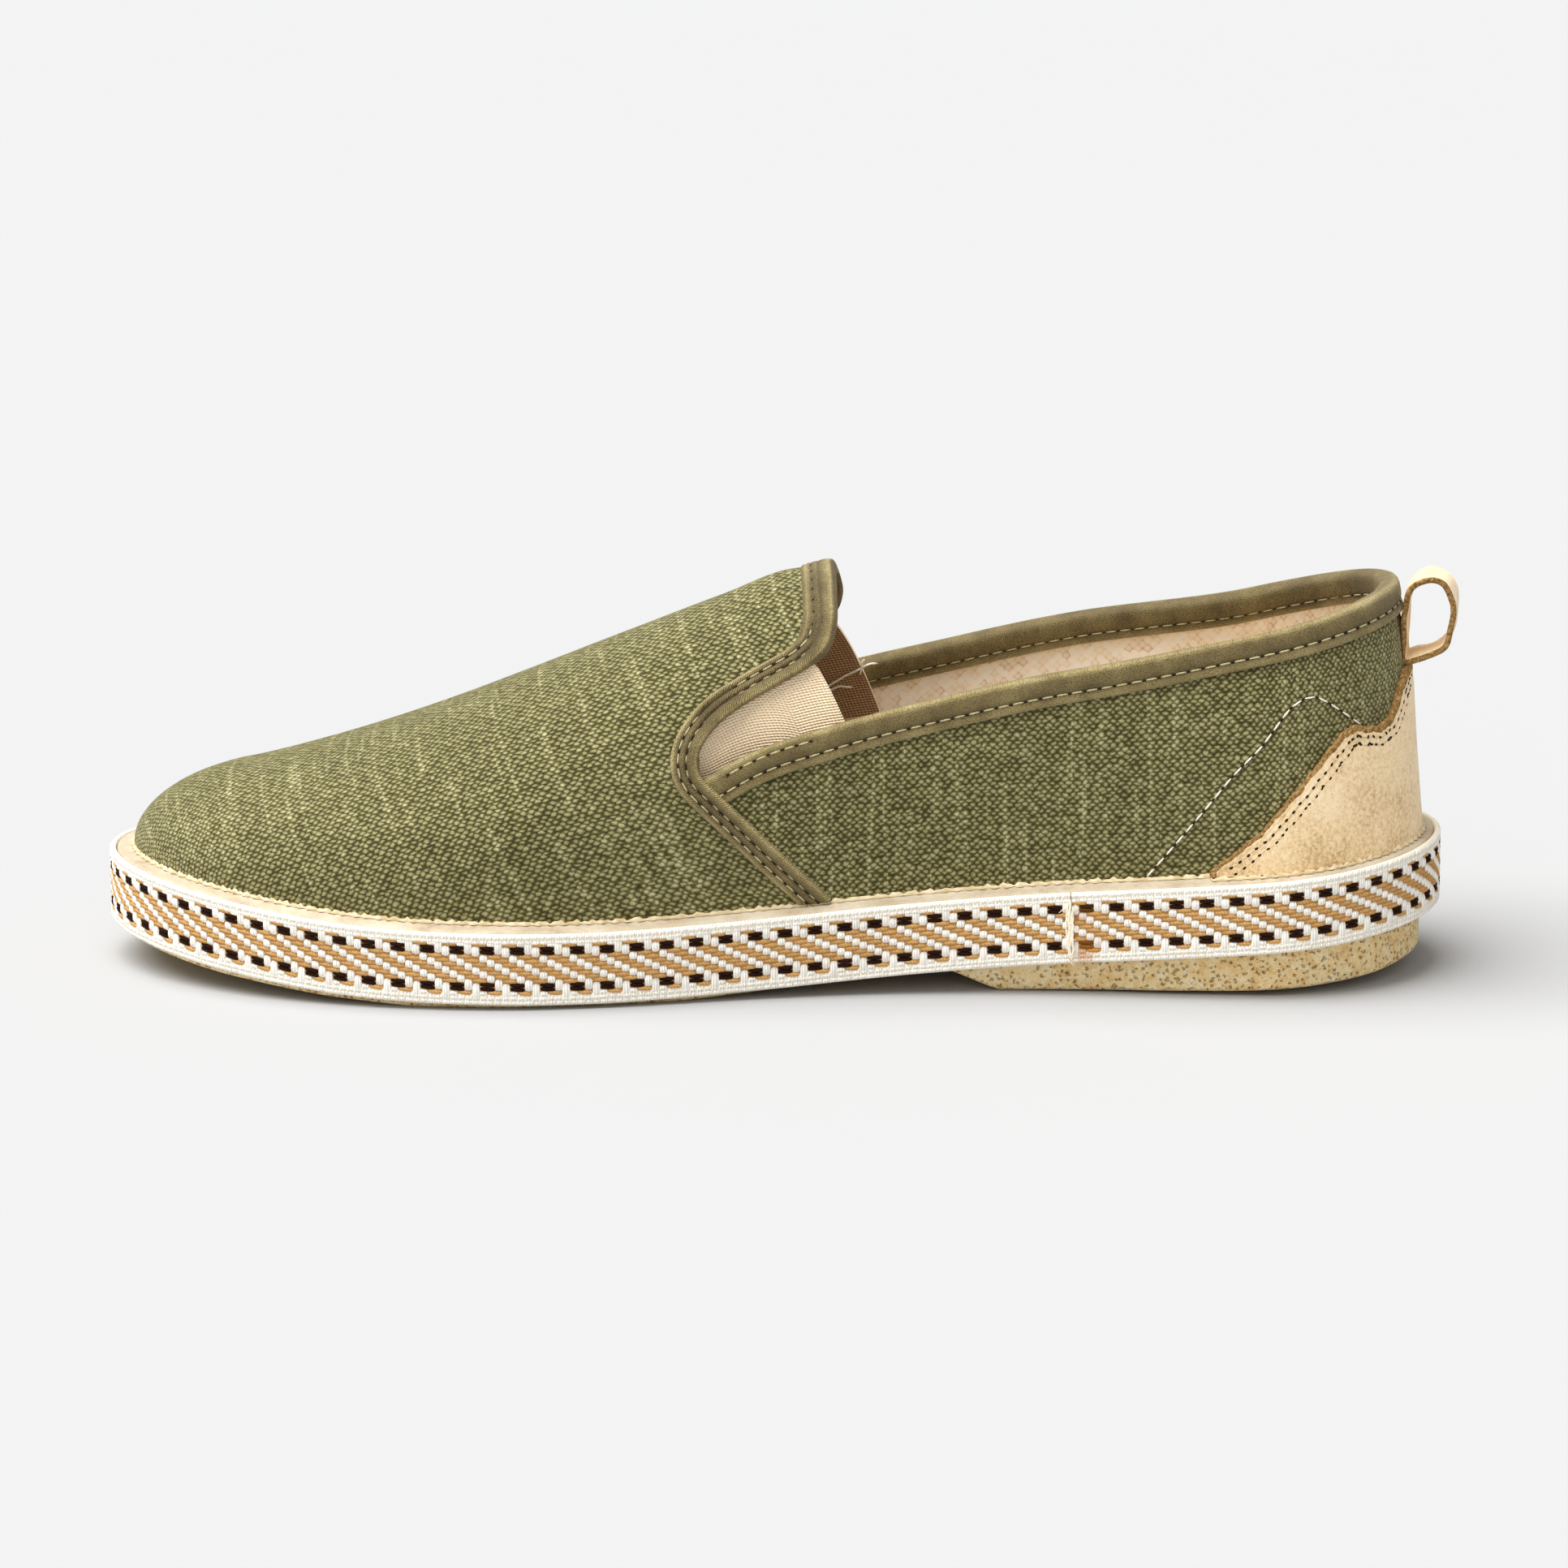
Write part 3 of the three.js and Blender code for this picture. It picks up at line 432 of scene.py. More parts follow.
# Cross section of the strip under the floats, with the ridge of its selvedge at both edges
strip_table = {
    "up": [0.15, 0.0, 0.0, 0.25, 0.7, 1.2, 1.7, 2.3, 2.8, 13.2, 13.8, 14.3, 14.8, 15.2, 15.5, 15.5, 15.35],
    "off": [-1.2, -0.9, -0.35, -0.1, 0.0, -0.12, -0.02, -0.12, -0.35, -0.35, -0.12, -0.02, -0.06, -0.12, -0.4,
            -0.9, -1.2],
}
# Floats of one repeat of four columns: the white steps, the tan ones, the dark blocks and the selvedges.
# Rows count from the top.
float_table = {
    "column": [0, 0, 0, 1, 1, 2, 2, 3, 3, 3, 2, 1] + [0, 2, 3, 0, 1, 2, 3, 0, 2] + [1] * 4
              + sorted([0, 1, 2, 3] * 4),
    "row": [3, 8, 12, 5, 9, 6, 10, 1.6, 7, 11, 2, 14] + [2, 5, 6, 7, 8, 9, 10, 11, 14] + [3, 4, 12, 13]
           + [0.1, 1.3, 15.1, 16.2] * 4,
    "wide": [1] * 12 + [2] * 13 + [1] * 16,
    "tall": [2.6, 2, 4.6, 2, 2, 2, 2, 3.4, 2, 3, 1, 1.2] + [1] * 13 + [1.25] * 16,
    "yarn": [white_yarn] * 12 + [tan_yarn] * 9 + [dark_yarn] * 4 + [white_yarn] * 16,
}

dense = np.linspace(0, 2, 4001)
dense_x, dense_y = outline(dense, 0.0)
dense_arc = np.concatenate([[0], np.cumsum(np.hypot(np.diff(dense_x), np.diff(dense_y)))])
perimeter = dense_arc[-1]


def bell(value, middle, width):
    """Bell of height one: e to the power of minus the squared distance from the middle over the width."""
    return np.exp(-((value - middle) / width) ** 2)


def unit(vectors):
    """Vectors scaled to length one."""
    return vectors / np.maximum(np.linalg.norm(vectors, axis=-1, keepdims=True), 1e-12)


def station_at(x):
    """Station of a place in the stretch between heel and toe, on the inner side."""
    along = (x - heel_radius) / (sole_length - toe_radius - heel_radius)
    return heel_share + along * (toe_share - heel_share)


def tape_point(along, up, off):
    """Place on the tape: along its arc from the joint, up from its lower edge and off its outer face."""
    arc = np.mod(along + np.interp(station_at(tape_joint_at), dense, dense_arc), perimeter)
    step = 0.4
    x, y = np.interp(arc, dense_arc, dense_x), np.interp(arc, dense_arc, dense_y)
    ahead, behind = np.mod(arc + step, perimeter), np.mod(arc - step, perimeter)
    way_x = np.interp(ahead, dense_arc, dense_x) - np.interp(behind, dense_arc, dense_x)
    way_y = np.interp(ahead, dense_arc, dense_y) - np.interp(behind, dense_arc, dense_y)
    size = np.hypot(way_x, way_y)
    return np.stack([x - off * way_y / size, y + off * way_x / size, lift_at(x) + up], axis=-1)


def stained(colours, from_joint, up):
    """Colours with the cement's stain beside the joint: soft spots at the lower edge and half way up."""
    amount = 0.8 * bell(from_joint, 2.4, 2.0) * bell(up, 1.8, 2.4)
    amount = amount + 0.4 * bell(from_joint, 2.0, 1.6) * bell(up, 9.5, 1.8)
    return colours * (1 - amount[:, None]) + np.array(linear(orange_stain)) * amount[:, None]


def grid_faces(rows, columns):
    """Quads of a grid of points."""
    index = np.arange(rows * columns).reshape(rows, columns)
    return np.stack([index[:-1, :-1], index[1:, :-1], index[1:, 1:], index[:-1, 1:]], -1).reshape(-1, 4)


def repeated(faces, count, size):
    """Faces of one small mesh, repeated for a number of them with as many points each."""
    return (faces[None] + (np.arange(count) * size)[:, None, None]).reshape(-1, 4).tolist()


def joined(parts):
    """One list of points and faces from several."""
    starts = np.cumsum([0] + [len(points) for points, _ in parts])
    faces = [np.array(some) + start for (_, some), start in zip(parts, starts)]
    return np.concatenate([points for points, _ in parts]), np.concatenate(faces).tolist()


def tube(path, radius):
    """Round tube along a path with pointed ends."""
    sides = 6
    way = unit(np.gradient(path, axis=0))
    first = unit(np.cross(way, np.array([0.3, 0.2, 0.93])))
    second = np.cross(way, first)
    turn = np.arange(sides)[None, :, None] * 2 * math.pi / sides
    girth = np.ones((len(path), 1, 1))
    girth[[0, -1]] = 0.1
    points = path[:, None] + radius * girth * (first[:, None] * np.cos(turn) + second[:, None] * np.sin(turn))
    last = (len(path) - 1) * sides
    caps = [[0, 1, 2, 3], [0, 3, 4, 5],
            [last + 3, last + 2, last + 1, last], [last + 5, last + 4, last + 3, last]]
    return points.reshape(-1, 3), ring_faces(len(path), sides).tolist() + caps


strip_along = np.linspace(joint_gap / 2, perimeter - joint_gap / 2, strip_steps)
strip_up, strip_off = np.array(strip_table["up"]), np.array(strip_table["off"])
strip_points = tape_point(strip_along[:, None], strip_up, strip_off).reshape(-1, 3)
strip_count = len(strip_up)
strip_ends = [list(range(strip_count)), list(range(len(strip_points) - strip_count, len(strip_points)))[::-1]]
strip_faces = turned_out(strip_points, ring_faces(strip_steps, strip_count).tolist() + strip_ends)
strip_uv = np.stack(np.broadcast_arrays(strip_along[:, None], strip_up), axis=-1).reshape(-1, 2)
# Painted shade: between the selvedges the strip under the floats is a darker tan than the tan yarn, so the
# gaps between the floats look shaded.
strip_rgb = np.where((np.abs(strip_up - 7.9) > 5.4)[:, None], linear("#f8efdc"), linear("#b3864e"))
strip_rgba = stained(np.tile(strip_rgb, (strip_steps, 1)), perimeter - strip_uv[:, 0], strip_uv[:, 1])

repeats = int(perimeter / (4 * tape_column))
column_width = (perimeter - joint_gap) / (4 * repeats)
rng = np.random.default_rng(7)
float_rows = []
for column, row, wide, tall, yarn in zip(*float_table.values()):
    start = (np.arange(repeats) * 4 + column) * column_width
    start = start[start + wide * column_width <= perimeter - joint_gap + 0.01]
    shade = rng.uniform(0.93, 1.04, len(start))[:, None]
    top = np.full(len(start), tape_height - row * tape_row)
    float_rows.append(np.column_stack([
        start, start + wide * column_width, top, top - tall * tape_row,
        np.full(len(start), float(yarn != white_yarn)), np.clip(np.array(linear(yarn)) * shade, 0, 1)]))
float_rows = np.concatenate(float_rows)
low, high, top, bottom, twisted = (float_rows[:, k, None, None] for k in range(5))

# Each float is a pillow, pinched at its ends and a little out of line. The columns run against the
# arc, so the twill steps down towards the heel on the inner side.
cell = 35
along, rise = np.meshgrid(np.linspace(-1, 1, 7), np.linspace(-1, 1, 5), indexing="ij")
jitter = rng.uniform(-0.06, 0.06, (4, len(float_rows)))[..., None, None]
half_along = (high - low) / 2 * np.where(twisted, 1.06, 1.16) + jitter[2] * 0.4
half_up = (top - bottom) / 2 * np.where(twisted, 1.16, 1.04)
bulge = (1 - np.abs(along) ** 3.2) ** 0.5 * (1 - np.abs(rise) ** 2.6) ** 0.5
float_along = (low + high) / 2 + jitter[0] + half_along * along * (1 - 0.1 * rise ** 2)
float_up = (top + bottom) / 2 + jitter[1] + half_up * rise * (1 - 0.16 * along ** 2)
float_points = tape_point(perimeter - joint_gap / 2 - float_along, float_up - 0.144 * twisted * along,
                          -0.42 + (0.52 + jitter[3]) * bulge)
float_uv = np.stack(np.broadcast_arrays(
    np.where(twisted, float_along, along * 1.5), np.where(twisted, rise, float_up)), axis=-1).reshape(-1, 2)
float_rgba = np.repeat(stained(float_rows[:, 5:], float_rows[:, 0], float_rows[:, 3]), cell, axis=0)
float_rgba[:, 3] = 1.0

# Cotton yarn: matte and a little fuzzy. White floats are three fine strands side by side, the tan
# and brown ones a single yarn with a slanting twist, drawn about as coarse as the real one.
cotton, tree, place = new_material("woven_cotton_yarn")
parts = add_node(tree, "SeparateXYZ", {0: add_node(tree, "UVMap", uv_map="cloth")})
tint = add_node(tree, "Attribute", attribute_name="yarn")
twist = add_node(tree, "Attribute", attribute_name="twist")
fine = add_node(tree, "TexNoise", {"Vector": place, "Scale": 2600.0, "Detail": 3.0})
strands = wave(tree, "COSINE", (parts, 6.3))
ply = wave(tree, "SINE", (parts, 8.0), (parts.outputs[1], 2.2))
relief = add_node(tree, "Mix", {0: twist.outputs["Fac"], 2: strands, 3: ply}, data_type="FLOAT")
relief = weighed(tree, relief, (fine, 1.2))
shade = add_node(tree, "MapRange", {0: relief, 1: -0.8, 2: 1.8, 3: 0.85, 4: 1.12})
colour = add_node(tree, "VectorMath", {0: tint, "Scale": shade}, operation="SCALE")
finish_material(tree, colour, 0.9, 0.1, (0.7, 0.00012, relief))

make_piece("tape_strip", strip_points, strip_faces, [cotton], "woven_tape", ["foxing_tape"],
           uv=strip_uv, values={"yarn": strip_rgba, "twist": np.ones(len(strip_uv))}, crease=70)
float_faces = repeated(grid_faces(7, 5), len(float_rows), cell)
make_piece("tape_floats", float_points.reshape(-1, 3), float_faces, [cotton], "woven_tape", uv=float_uv,
           values={"yarn": float_rgba, "twist": np.repeat(float_rows[:, 4], cell)}, crease=80)

# Frayed ends at the joint: warp threads that bend across the butt, and short hairs that stand off
fray = []
for _ in range(9):
    up = np.linspace(rng.uniform(0.2, 4.0), rng.uniform(10.0, 15.6), 14)
    sweep = rng.uniform(-0.9, 0.7) + np.cumsum(rng.uniform(-0.22, 0.22, 14))
    fray.append(tube(tape_point(sweep, up, 0.05 + rng.uniform(0.0, 0.3, 14)), rng.uniform(0.14, 0.26)))
for _ in range(16):
    start_up, start_along = rng.uniform(0.3, 15.4), rng.uniform(-1.0, 0.9)
    reach = np.linspace(0, 1, 6)
    up = start_up + reach * rng.uniform(-1.6, 1.8)
    sweep = start_along + reach * rng.uniform(-1.8, 1.8)
    fray.append(tube(tape_point(sweep, up, 0.05 + 0.5 * np.sin(reach * 2.2)), 0.07))
points, faces = joined(fray)
make_piece("tape_joint_fray", points, faces, [cotton], "woven_tape", uv=np.zeros((len(points), 2)),
           values={"yarn": np.tile(linear("#f7ecd6"), (len(points), 1)), "twist": np.zeros(len(points))})


# Insole: a thin board covered with fabric, dropped into the midsole's recess. The foot has pressed it
# a little hollow under the heel and the ball.
insole_thickness = 3.8
insole_round = 1.0
insole_edge = recess_inset + clearance


def insole_at(x, hollow=0.0):
    """Top of the insole, with a share of the hollows that the heel and the ball have pressed."""
    pressed = 0.9 * bell(x, 38.0, 26.0) + 0.7 * bell(x, 205.0, 40.0)
    return feather_at(x) - recess_depth + insole_thickness - hollow * pressed


insole_rings = [ring(insole_edge, lambda x: insole_at(x) - insole_thickness)]
for turn in np.linspace(0, math.pi / 2, 4):
    insole_rings.append(ring(
        insole_edge + insole_round * (1 - math.cos(turn)),
        lambda x, t=turn: insole_at(x) - insole_round * (1 - math.sin(t))))
for inset in (4.0, 8.0, 13.0, 19.0, 26.0):
    insole_rings.append(ring(insole_edge + inset, lambda x, d=inset: insole_at(x, 1.0 - math.exp(-d / 12.0))))

# Cotton drill on the footbed: beige, matte, with a fine plain weave of 0.7 mm, greyer where it was worn.
footbed, tree, place = new_material("footbed_cotton_drill")
turned = add_node(tree, "Mapping", {"Vector": place, "Rotation": (0, 0, 0.785), "Scale": (1400, 1400, 1400)})
cells = add_node(tree, "TexVoronoi", {"Vector": turned, "Scale": 1.0, "Randomness": 0.3},
    voronoi_dimensions="2D")
cloud = add_node(tree, "TexNoise", {"Vector": place, "Scale": 25.0, "Detail": 4.0})
colour = ramp(tree, weighed(tree, cloud, (cells, -0.5)), [
    (0.0, "#8f7859"), (0.3, "#b79c78"), (0.6, "#c9b08c")])
finish_material(tree, colour, 0.92, 0.2, (-0.6, 0.00025, cells))

make_piece("insole_cover", *plate(insole_rings), [footbed], "footbed", ["insole"], crease=50)


# Vamp: linen canvas lasted over the last and cemented to the ledge, with a cotton lining inside. Its
# rows go up from the ledge to the ridge, its columns from the inner edge round the toe to the outer.
instep_rise = 73.5
heel_fan = 40.0
toe_fan = 28.0
heel_pull = 0.88
heel_lean = 11.8
canvas_thickness = 0.9
canvas_offs, lining_offs = (0.0, -canvas_thickness), (-1.05, -wall)
foot_drop = clearance - 0.04
girth_steps = 120

ridge_table = {
    "at": [0, 0.138, 0.29, 0.46, 0.52, 0.6, 0.72, 0.78, 0.84, 0.9, 1],
    "ridge": [1.75, 1.54, 1.288, 0.946, 0.884, 0.762, 0.57, 0.48, 0.404, 0.346, 0.3],
    "round": [1.5, 1.5, 1.5, 1.55, 1.6, 1.75, 1.9, 2, 2, 2, 2],
    "tall": [3.2, 3.2, 3.2, 3.1, 2.9, 2.6, 2.2, 2.05, 2, 2, 2],
    "shift": [0, 0, 0, 0.01, 0.01, 0.02, 0.03, 0.025, 0.015, 0.01, 0.01],
}
topline_table = {
    "at": [0, 0.034, 0.083, 0.152, 0.22, 0.291, 0.362, 0.441, 0.483, 0.517, 0.552],
    "up": [0.486, 0.485, 0.478, 0.477, 0.487, 0.503, 0.52, 0.54, 0.532, 0.498, 0.44],
}
vamp_edge_table = {
    "row": [-0.35] + list(range(15)),
    "at": [0.4553, 0.467, 0.5, 0.536, 0.5515, 0.552, 0.54, 0.5186, 0.4897, 0.472, 0.459, 0.4545, 0.4555,
           0.4565, 0.4575, 0.458],
    "up": [0.0, 0.055, 0.211, 0.396, 0.49, 0.577, 0.645, 0.693, 0.74, 0.768, 0.805, 0.87, 0.94, 0.975,
           0.993, 1.0],
}
# Soft creases of the lasted canvas in the last's millimetres, with turn in degrees. A trough's height
# is below zero. side is 1 for the inner side, -1 for the outer one and 0 for half the height on both.
crease_table = {
    "x": [166, 171, 178, 196, 214, 236, 150, 131, 112, 84, 60, 33, 168, 182, 205, 128, 96, 60, 141, 10],
    "z": [63, 58, 47, 40, 47, 34, 44, 50, 42, 56, 48, 72, 62, 48, 44, 50, 48, 52, 83, 78],
    "turn": [-35, -38, -30, -20, -24, -12, 60, 20, 8, 15, 70, 75, -35, -28, -20, 15, 10, 65, -25, 80],
    "half_length": [13, 12, 16, 22, 18, 14, 9, 20, 20, 16, 14, 12, 14, 18, 20, 20, 18, 14, 8, 20],
    "half_width": [3, 3, 5, 7, 6, 6, 4, 6, 6, 6, 5, 4, 3.5, 6, 6, 6, 6, 5, 9, 14],
    "height": [-0.35, 0.3, -0.3, 0.35, -0.3, 0.25, -0.3, 0.3, -0.25, 0.25, -0.25, 0.3, -0.35, 0.35, -0.3,
               -0.3, 0.3, -0.25, 3.4, 3.4],
    "side": [1] * 12 + [-1] * 6 + [0] * 2,
}


def ridge_at(x):
    """Height of the last's ridge."""
    return feather_height + instep_rise * cubic(ridge_table, "ridge", x / sole_length)


def dome(angle, swell, tall):
    """Shares outwards and upwards of a cross section at an angle, from out^swell + high^tall = 1 with
    high over out the angle's tangent, found by halving."""
    ratio = np.tan(np.minimum(angle, math.pi / 2 - 1e-4))
    low, top = np.zeros_like(ratio), np.ones_like(ratio)
    for _ in range(34):
        middle = (low + top) / 2
        past = middle ** swell + np.maximum(middle * ratio, 0) ** tall > 1
        low, top = np.where(past, low, middle), np.where(past, middle, top)
    summit = angle >= math.pi / 2 - 1e-4
    return np.where(summit, 0.0, low), np.where(summit, 1.0, low * ratio)


def angle_of(high, at):
    """Angle at which the cross section at a share of the length reaches a share of its height."""
    swell, tall = cubic(ridge_table, "round", at), cubic(ridge_table, "tall", at)
    return np.arctan2(high, (1 - np.minimum(high, 1) ** tall) ** (1 / swell))


def last_point(station, angle):
    """Point on the last: a ray runs in plan from the ridge to the outline at the station, the dome
    gives the share of it and of the height, and past the ridge it goes down the other side."""
    station, angle = np.broadcast_arrays(station, angle)
    over = angle > math.pi / 2
    station, angle = np.where(over, 2 - station, station), np.where(over, math.pi - angle, angle)
    foot_x, foot_y = outline(station, feather_inset)
    centre = np.clip(foot_x, heel_fan, sole_length - toe_fan)
    at = centre / sole_length
    out, high = dome(angle, cubic(ridge_table, "round", at), cubic(ridge_table, "tall", at))
    middle = ball_width * cubic(ridge_table, "shift", at)
    rear = np.clip((2 * heel_fan - foot_x) / heel_fan, 0, 1)
    narrow = 1 - heel_pull * rear ** 2 * (3 - 2 * rear) * high ** 2
    x = centre + out * (foot_x - centre) + heel_lean * high * np.maximum(1 - foot_x / heel_fan, 0)
    base = feather_at(x)
    return np.stack([x, middle + out * narrow * (foot_y - middle), base + (ridge_at(x) - base) * high],
        axis=-1)


def last_normal(station, angle):
    """Outward direction: the cross product of a small step up and a small step along the surface."""
    station, angle = np.broadcast_arrays(station, np.clip(angle, 0, math.pi))
    step = 0.004
    up = last_point(station, angle + step) - last_point(station, np.maximum(angle - step, 0.001))
    on = last_point(station + step, angle) - last_point(station - step, angle)
    normal = unit(np.cross(up, on) + 1e-12)
    x = last_point(station, angle)[..., 0]
    slope = (ridge_at(x + 1) - ridge_at(x - 1)) / 2
    upright = unit(np.stack([-slope, np.zeros_like(slope), np.ones_like(slope)], axis=-1))
    return np.where((np.abs(angle - math.pi / 2) < 1e-5)[..., None], upright, normal)


def ease(points):
    """Height of the canvas over the last: the sum of the creases, each a bell along and across itself."""
    total = np.zeros(points.shape[:-1])
    for x, z, turn, half_length, half_width, height, side in zip(*crease_table.values()):
        c, s = math.cos(math.radians(turn)), math.sin(math.radians(turn))
        dx, dz = points[..., 0] - x, points[..., 2] - z
        here = 1 / (1 + np.exp(-side * points[..., 1] / 2.5))
        total += height * here * bell(dx * c + dz * s, 0, half_length) * bell(dz * c - dx * s, 0, half_width)
    return total


def surface(station, angle, off):
    """Point at a distance off the last, raised by the creases."""
    points = last_point(station, angle)
    return points + last_normal(station, angle) * (off + ease(points))[..., None]


def walk(station, angle, direction, distance):
    """Station and angle reached by going a distance over the last in a direction: in six equal
    steps the direction is split into its parts along both parameters."""
    station, angle, distance = np.broadcast_arrays(station, angle, distance)
    nudge, steps = 0.003, 6
    for _ in range(steps):
        here = last_point(station, angle)
        on = (last_point(station + nudge, angle) - here) / nudge
        up = (last_point(station, angle + nudge) - here) / nudge
        a, b, c = (on * on).sum(-1), (on * up).sum(-1), (up * up).sum(-1)
        p, q = (on * direction).sum(-1) * distance / steps, (up * direction).sum(-1) * distance / steps
        area = a * c - b * b
        station, angle = station + (c * p - b * q) / area, angle + (a * q - b * p) / area
    return station, angle


def arcs(points, axis):
    """Distances along one axis of a grid of points, from its first row or column."""
    steps = np.linalg.norm(np.diff(points, axis=axis), axis=-1)
    first = np.zeros_like(np.take(steps, [0], axis=axis))
    return np.concatenate([first, np.cumsum(steps, axis=axis)], axis=axis)


def sheet_body(outer, inner, folded=False):
    """Closed body between two grids of points, and the count of one side's faces. A folded one has its
    last row laid double on itself, so its rim is left out there and its doubles are merged afterwards."""
    rows, columns = outer.shape[:2]
    count = rows * columns
    index = np.arange(count).reshape(rows, columns)
    face = grid_faces(rows, columns)
    edges = [index[0, :], index[:, -1], index[::-1, 0]] + ([] if folded else [index[-1, ::-1]])
    sides = [np.stack([e[:-1], e[1:], e[1:] + count, e[:-1] + count], -1) for e in edges]
    points = np.concatenate([outer.reshape(-1, 3), inner.reshape(-1, 3)])
    return points, turned_out(points, np.concatenate([face, face[:, ::-1] + count] + sides)), len(face)


def merged(piece):
    """Merges the doubled points of a piece and turns its faces outwards."""
    body = bmesh.new()
    body.from_mesh(piece.data)
    bmesh.ops.remove_doubles(body, verts=body.verts, dist=2e-6)
    bmesh.ops.recalc_face_normals(body, faces=body.faces)
    body.to_mesh(piece.data)
    body.free()
    piece.data.set_sharp_from_angle(angle=math.radians(60))


def seated(points, angle):
    """Points let down to the ledge: all of the drop at the foot and none 4 mm up."""
    return points - np.array([0, 0, foot_drop]) * np.clip(1 - angle / 0.12, 0, 1)[..., None]


def cloth_sheet(name, material, grid, cloth_map, offs, replaced=(), folded=False):
    """Sheet of cloth over a grid of stations and angles, between two distances off the last."""
    outside, inside = (seated(surface(*grid, off), grid[1]) for off in offs)
    cloth = cloth_map(*grid)
    points, faces, _ = sheet_body(outside, inside, folded)
    piece = make_piece(name, points, faces, [material], "canvas", replaced, uv=np.concatenate([cloth, cloth]))
    if folded:
        merged(piece)


vamp_rows = np.linspace(-0.35, 14, 301)
vamp_at = cubic(vamp_edge_table, "at", vamp_rows, "row")
vamp_up = cubic(vamp_edge_table, "up", vamp_rows, "row")
vamp_station = station_at(vamp_at * sole_length)
vamp_angle = angle_of(np.clip(vamp_up, 0, 1), vamp_at)

girth_station = np.linspace(0, 2, 2 * girth_steps + 1)
girth_angle = np.linspace(0, math.pi / 2, girth_steps + 1)
girth_arc = arcs(last_point(girth_station[:, None], girth_angle[None, ::-1]), 1)[:, ::-1]


def girth(station, angle):
    """Distance over the last down from the ridge at a station, linear between the entries of a table."""
    i_at = np.mod(station, 2) * girth_steps
    j_at = np.clip(angle, 0, math.pi / 2) / (math.pi / 2) * girth_steps
    i, j = np.minimum(i_at.astype(int), 2 * girth_steps - 1), np.minimum(j_at.astype(int), girth_steps - 1)
    f, g = i_at - i, j_at - j
    low = girth_arc[i, j] * (1 - f) + girth_arc[i + 1, j] * f
    return low * (1 - g) + (girth_arc[i, j + 1] * (1 - f) + girth_arc[i + 1, j + 1] * f) * g


def vamp_grid(rows, columns, margin=0.0):
    """Stations and angles of the vamp: even steps of arc from the edge line, or a margin in front of
    it, to the toe tip, and the same stations mirrored down the outer side."""
    angle = math.pi / 2 * np.linspace(0, 1, rows) ** 1.15
    start = np.interp(np.interp(angle, vamp_angle, vamp_station), dense, dense_arc)[:, None] + margin
    toe = np.interp(1.0, dense, dense_arc)
    half = np.interp(start + (toe - start) * np.linspace(0, 1, columns), dense_arc, dense)
    station = np.concatenate([half, 2 - half[:, -2::-1]], axis=1)
    return station, np.broadcast_to(angle[:, None], station.shape)


def vamp_map(station, angle):
    """Cloth map of the vamp: distance down from the ridge, laid out along the ray's plan direction, and
    sheared by the drop so that its threads run square to the rising ridge."""
    foot_x, foot_y = outline(station, feather_inset)
    centre = np.clip(foot_x, heel_fan, sole_length - toe_fan)
    middle = ball_width * cubic(ridge_table, "shift", centre / sole_length)
    way = unit(np.stack([foot_x - centre, foot_y - middle], axis=-1))
    drop = ridge_at(centre) - last_point(station, angle)[..., 2]
    spread = np.stack([centre + 0.42 * drop, middle], axis=-1) + way * girth(station, angle)[..., None]
    return spread.reshape(-1, 2)


# Linen canvas: olive yarn of uneven thickness in plain weave, matte. Its knuckles stand in rows
# 0.85 mm apart; the colour darkens into the gaps between them as painted shade and pales on their
# crowns as painted highlight, and thicker slub threads run up the girth as paler lines.
canvas, tree, place = new_material("olive_linen_canvas")
uv = add_node(tree, "UVMap", uv_map="cloth")
diagonal = (0, 0, math.radians(45))
drift = add_node(tree, "TexNoise", {"Vector": uv, "Scale": 0.4, "Detail": 3.0, "Roughness": 0.6},
    noise_dimensions="2D")
shift = add_node(tree, "VectorMath", {0: drift.outputs["Color"], 1: (1.1, 1.1, 0.0), 2: uv},
    operation="MULTIPLY_ADD")
weave = add_node(tree, "Mapping", {"Vector": shift, "Rotation": diagonal, "Scale": (0.83, 0.83, 1)})
knuckle = add_node(tree, "TexVoronoi", {"Vector": weave, "Scale": 1.0, "Randomness": 0.26},
    voronoi_dimensions="2D")
tone = add_node(tree, "SeparateColor", {0: knuckle.outputs["Color"]})
from_middle = add_node(tree, "VectorMath", {0: weave, 1: knuckle.outputs["Position"]}, operation="SUBTRACT")
oval = add_node(tree, "Mapping", {"Vector": from_middle, "Rotation": diagonal, "Scale": (0.66, 0.47, 1)},
                vector_type="TEXTURE")
reach = add_node(tree, "VectorMath", {0: oval}, operation="LENGTH").outputs["Value"]
rise = add_node(tree, "MapRange", {0: weighed(tree, reach, (tone.outputs[1], 0.24)), 1: 1.28, 2: 0.35},
                interpolation_type="SMOOTHSTEP")
slubs = []
for location, scale in (((0, 0, 0), (0.5, 0.022, 1)), ((7, 3, 0), (0.05, 0.9, 1))):
    stretched = add_node(tree, "Mapping", {"Vector": uv, "Location": location, "Scale": scale})
    slubs.append(add_node(
        tree, "TexNoise", {"Vector": stretched, "Scale": 1.0, "Detail": 2.0, "Roughness": 0.6},
        noise_dimensions="2D"))
thick = add_node(tree, "MapRange", {0: slubs[0], 1: 0.54, 2: 0.74}, interpolation_type="SMOOTHSTEP")
fibre = add_node(tree, "TexNoise", {"Vector": place, "Scale": 3800.0, "Detail": 3.0, "Roughness": 0.7})
cloud = add_node(tree, "TexNoise", {"Vector": place, "Scale": 28.0, "Detail": 3.0})
level = weighed(tree, rise, (tone, 0.22), (fibre, 0.34), (cloud, 0.3), (slubs[1], 0.35), (thick, 0.32))
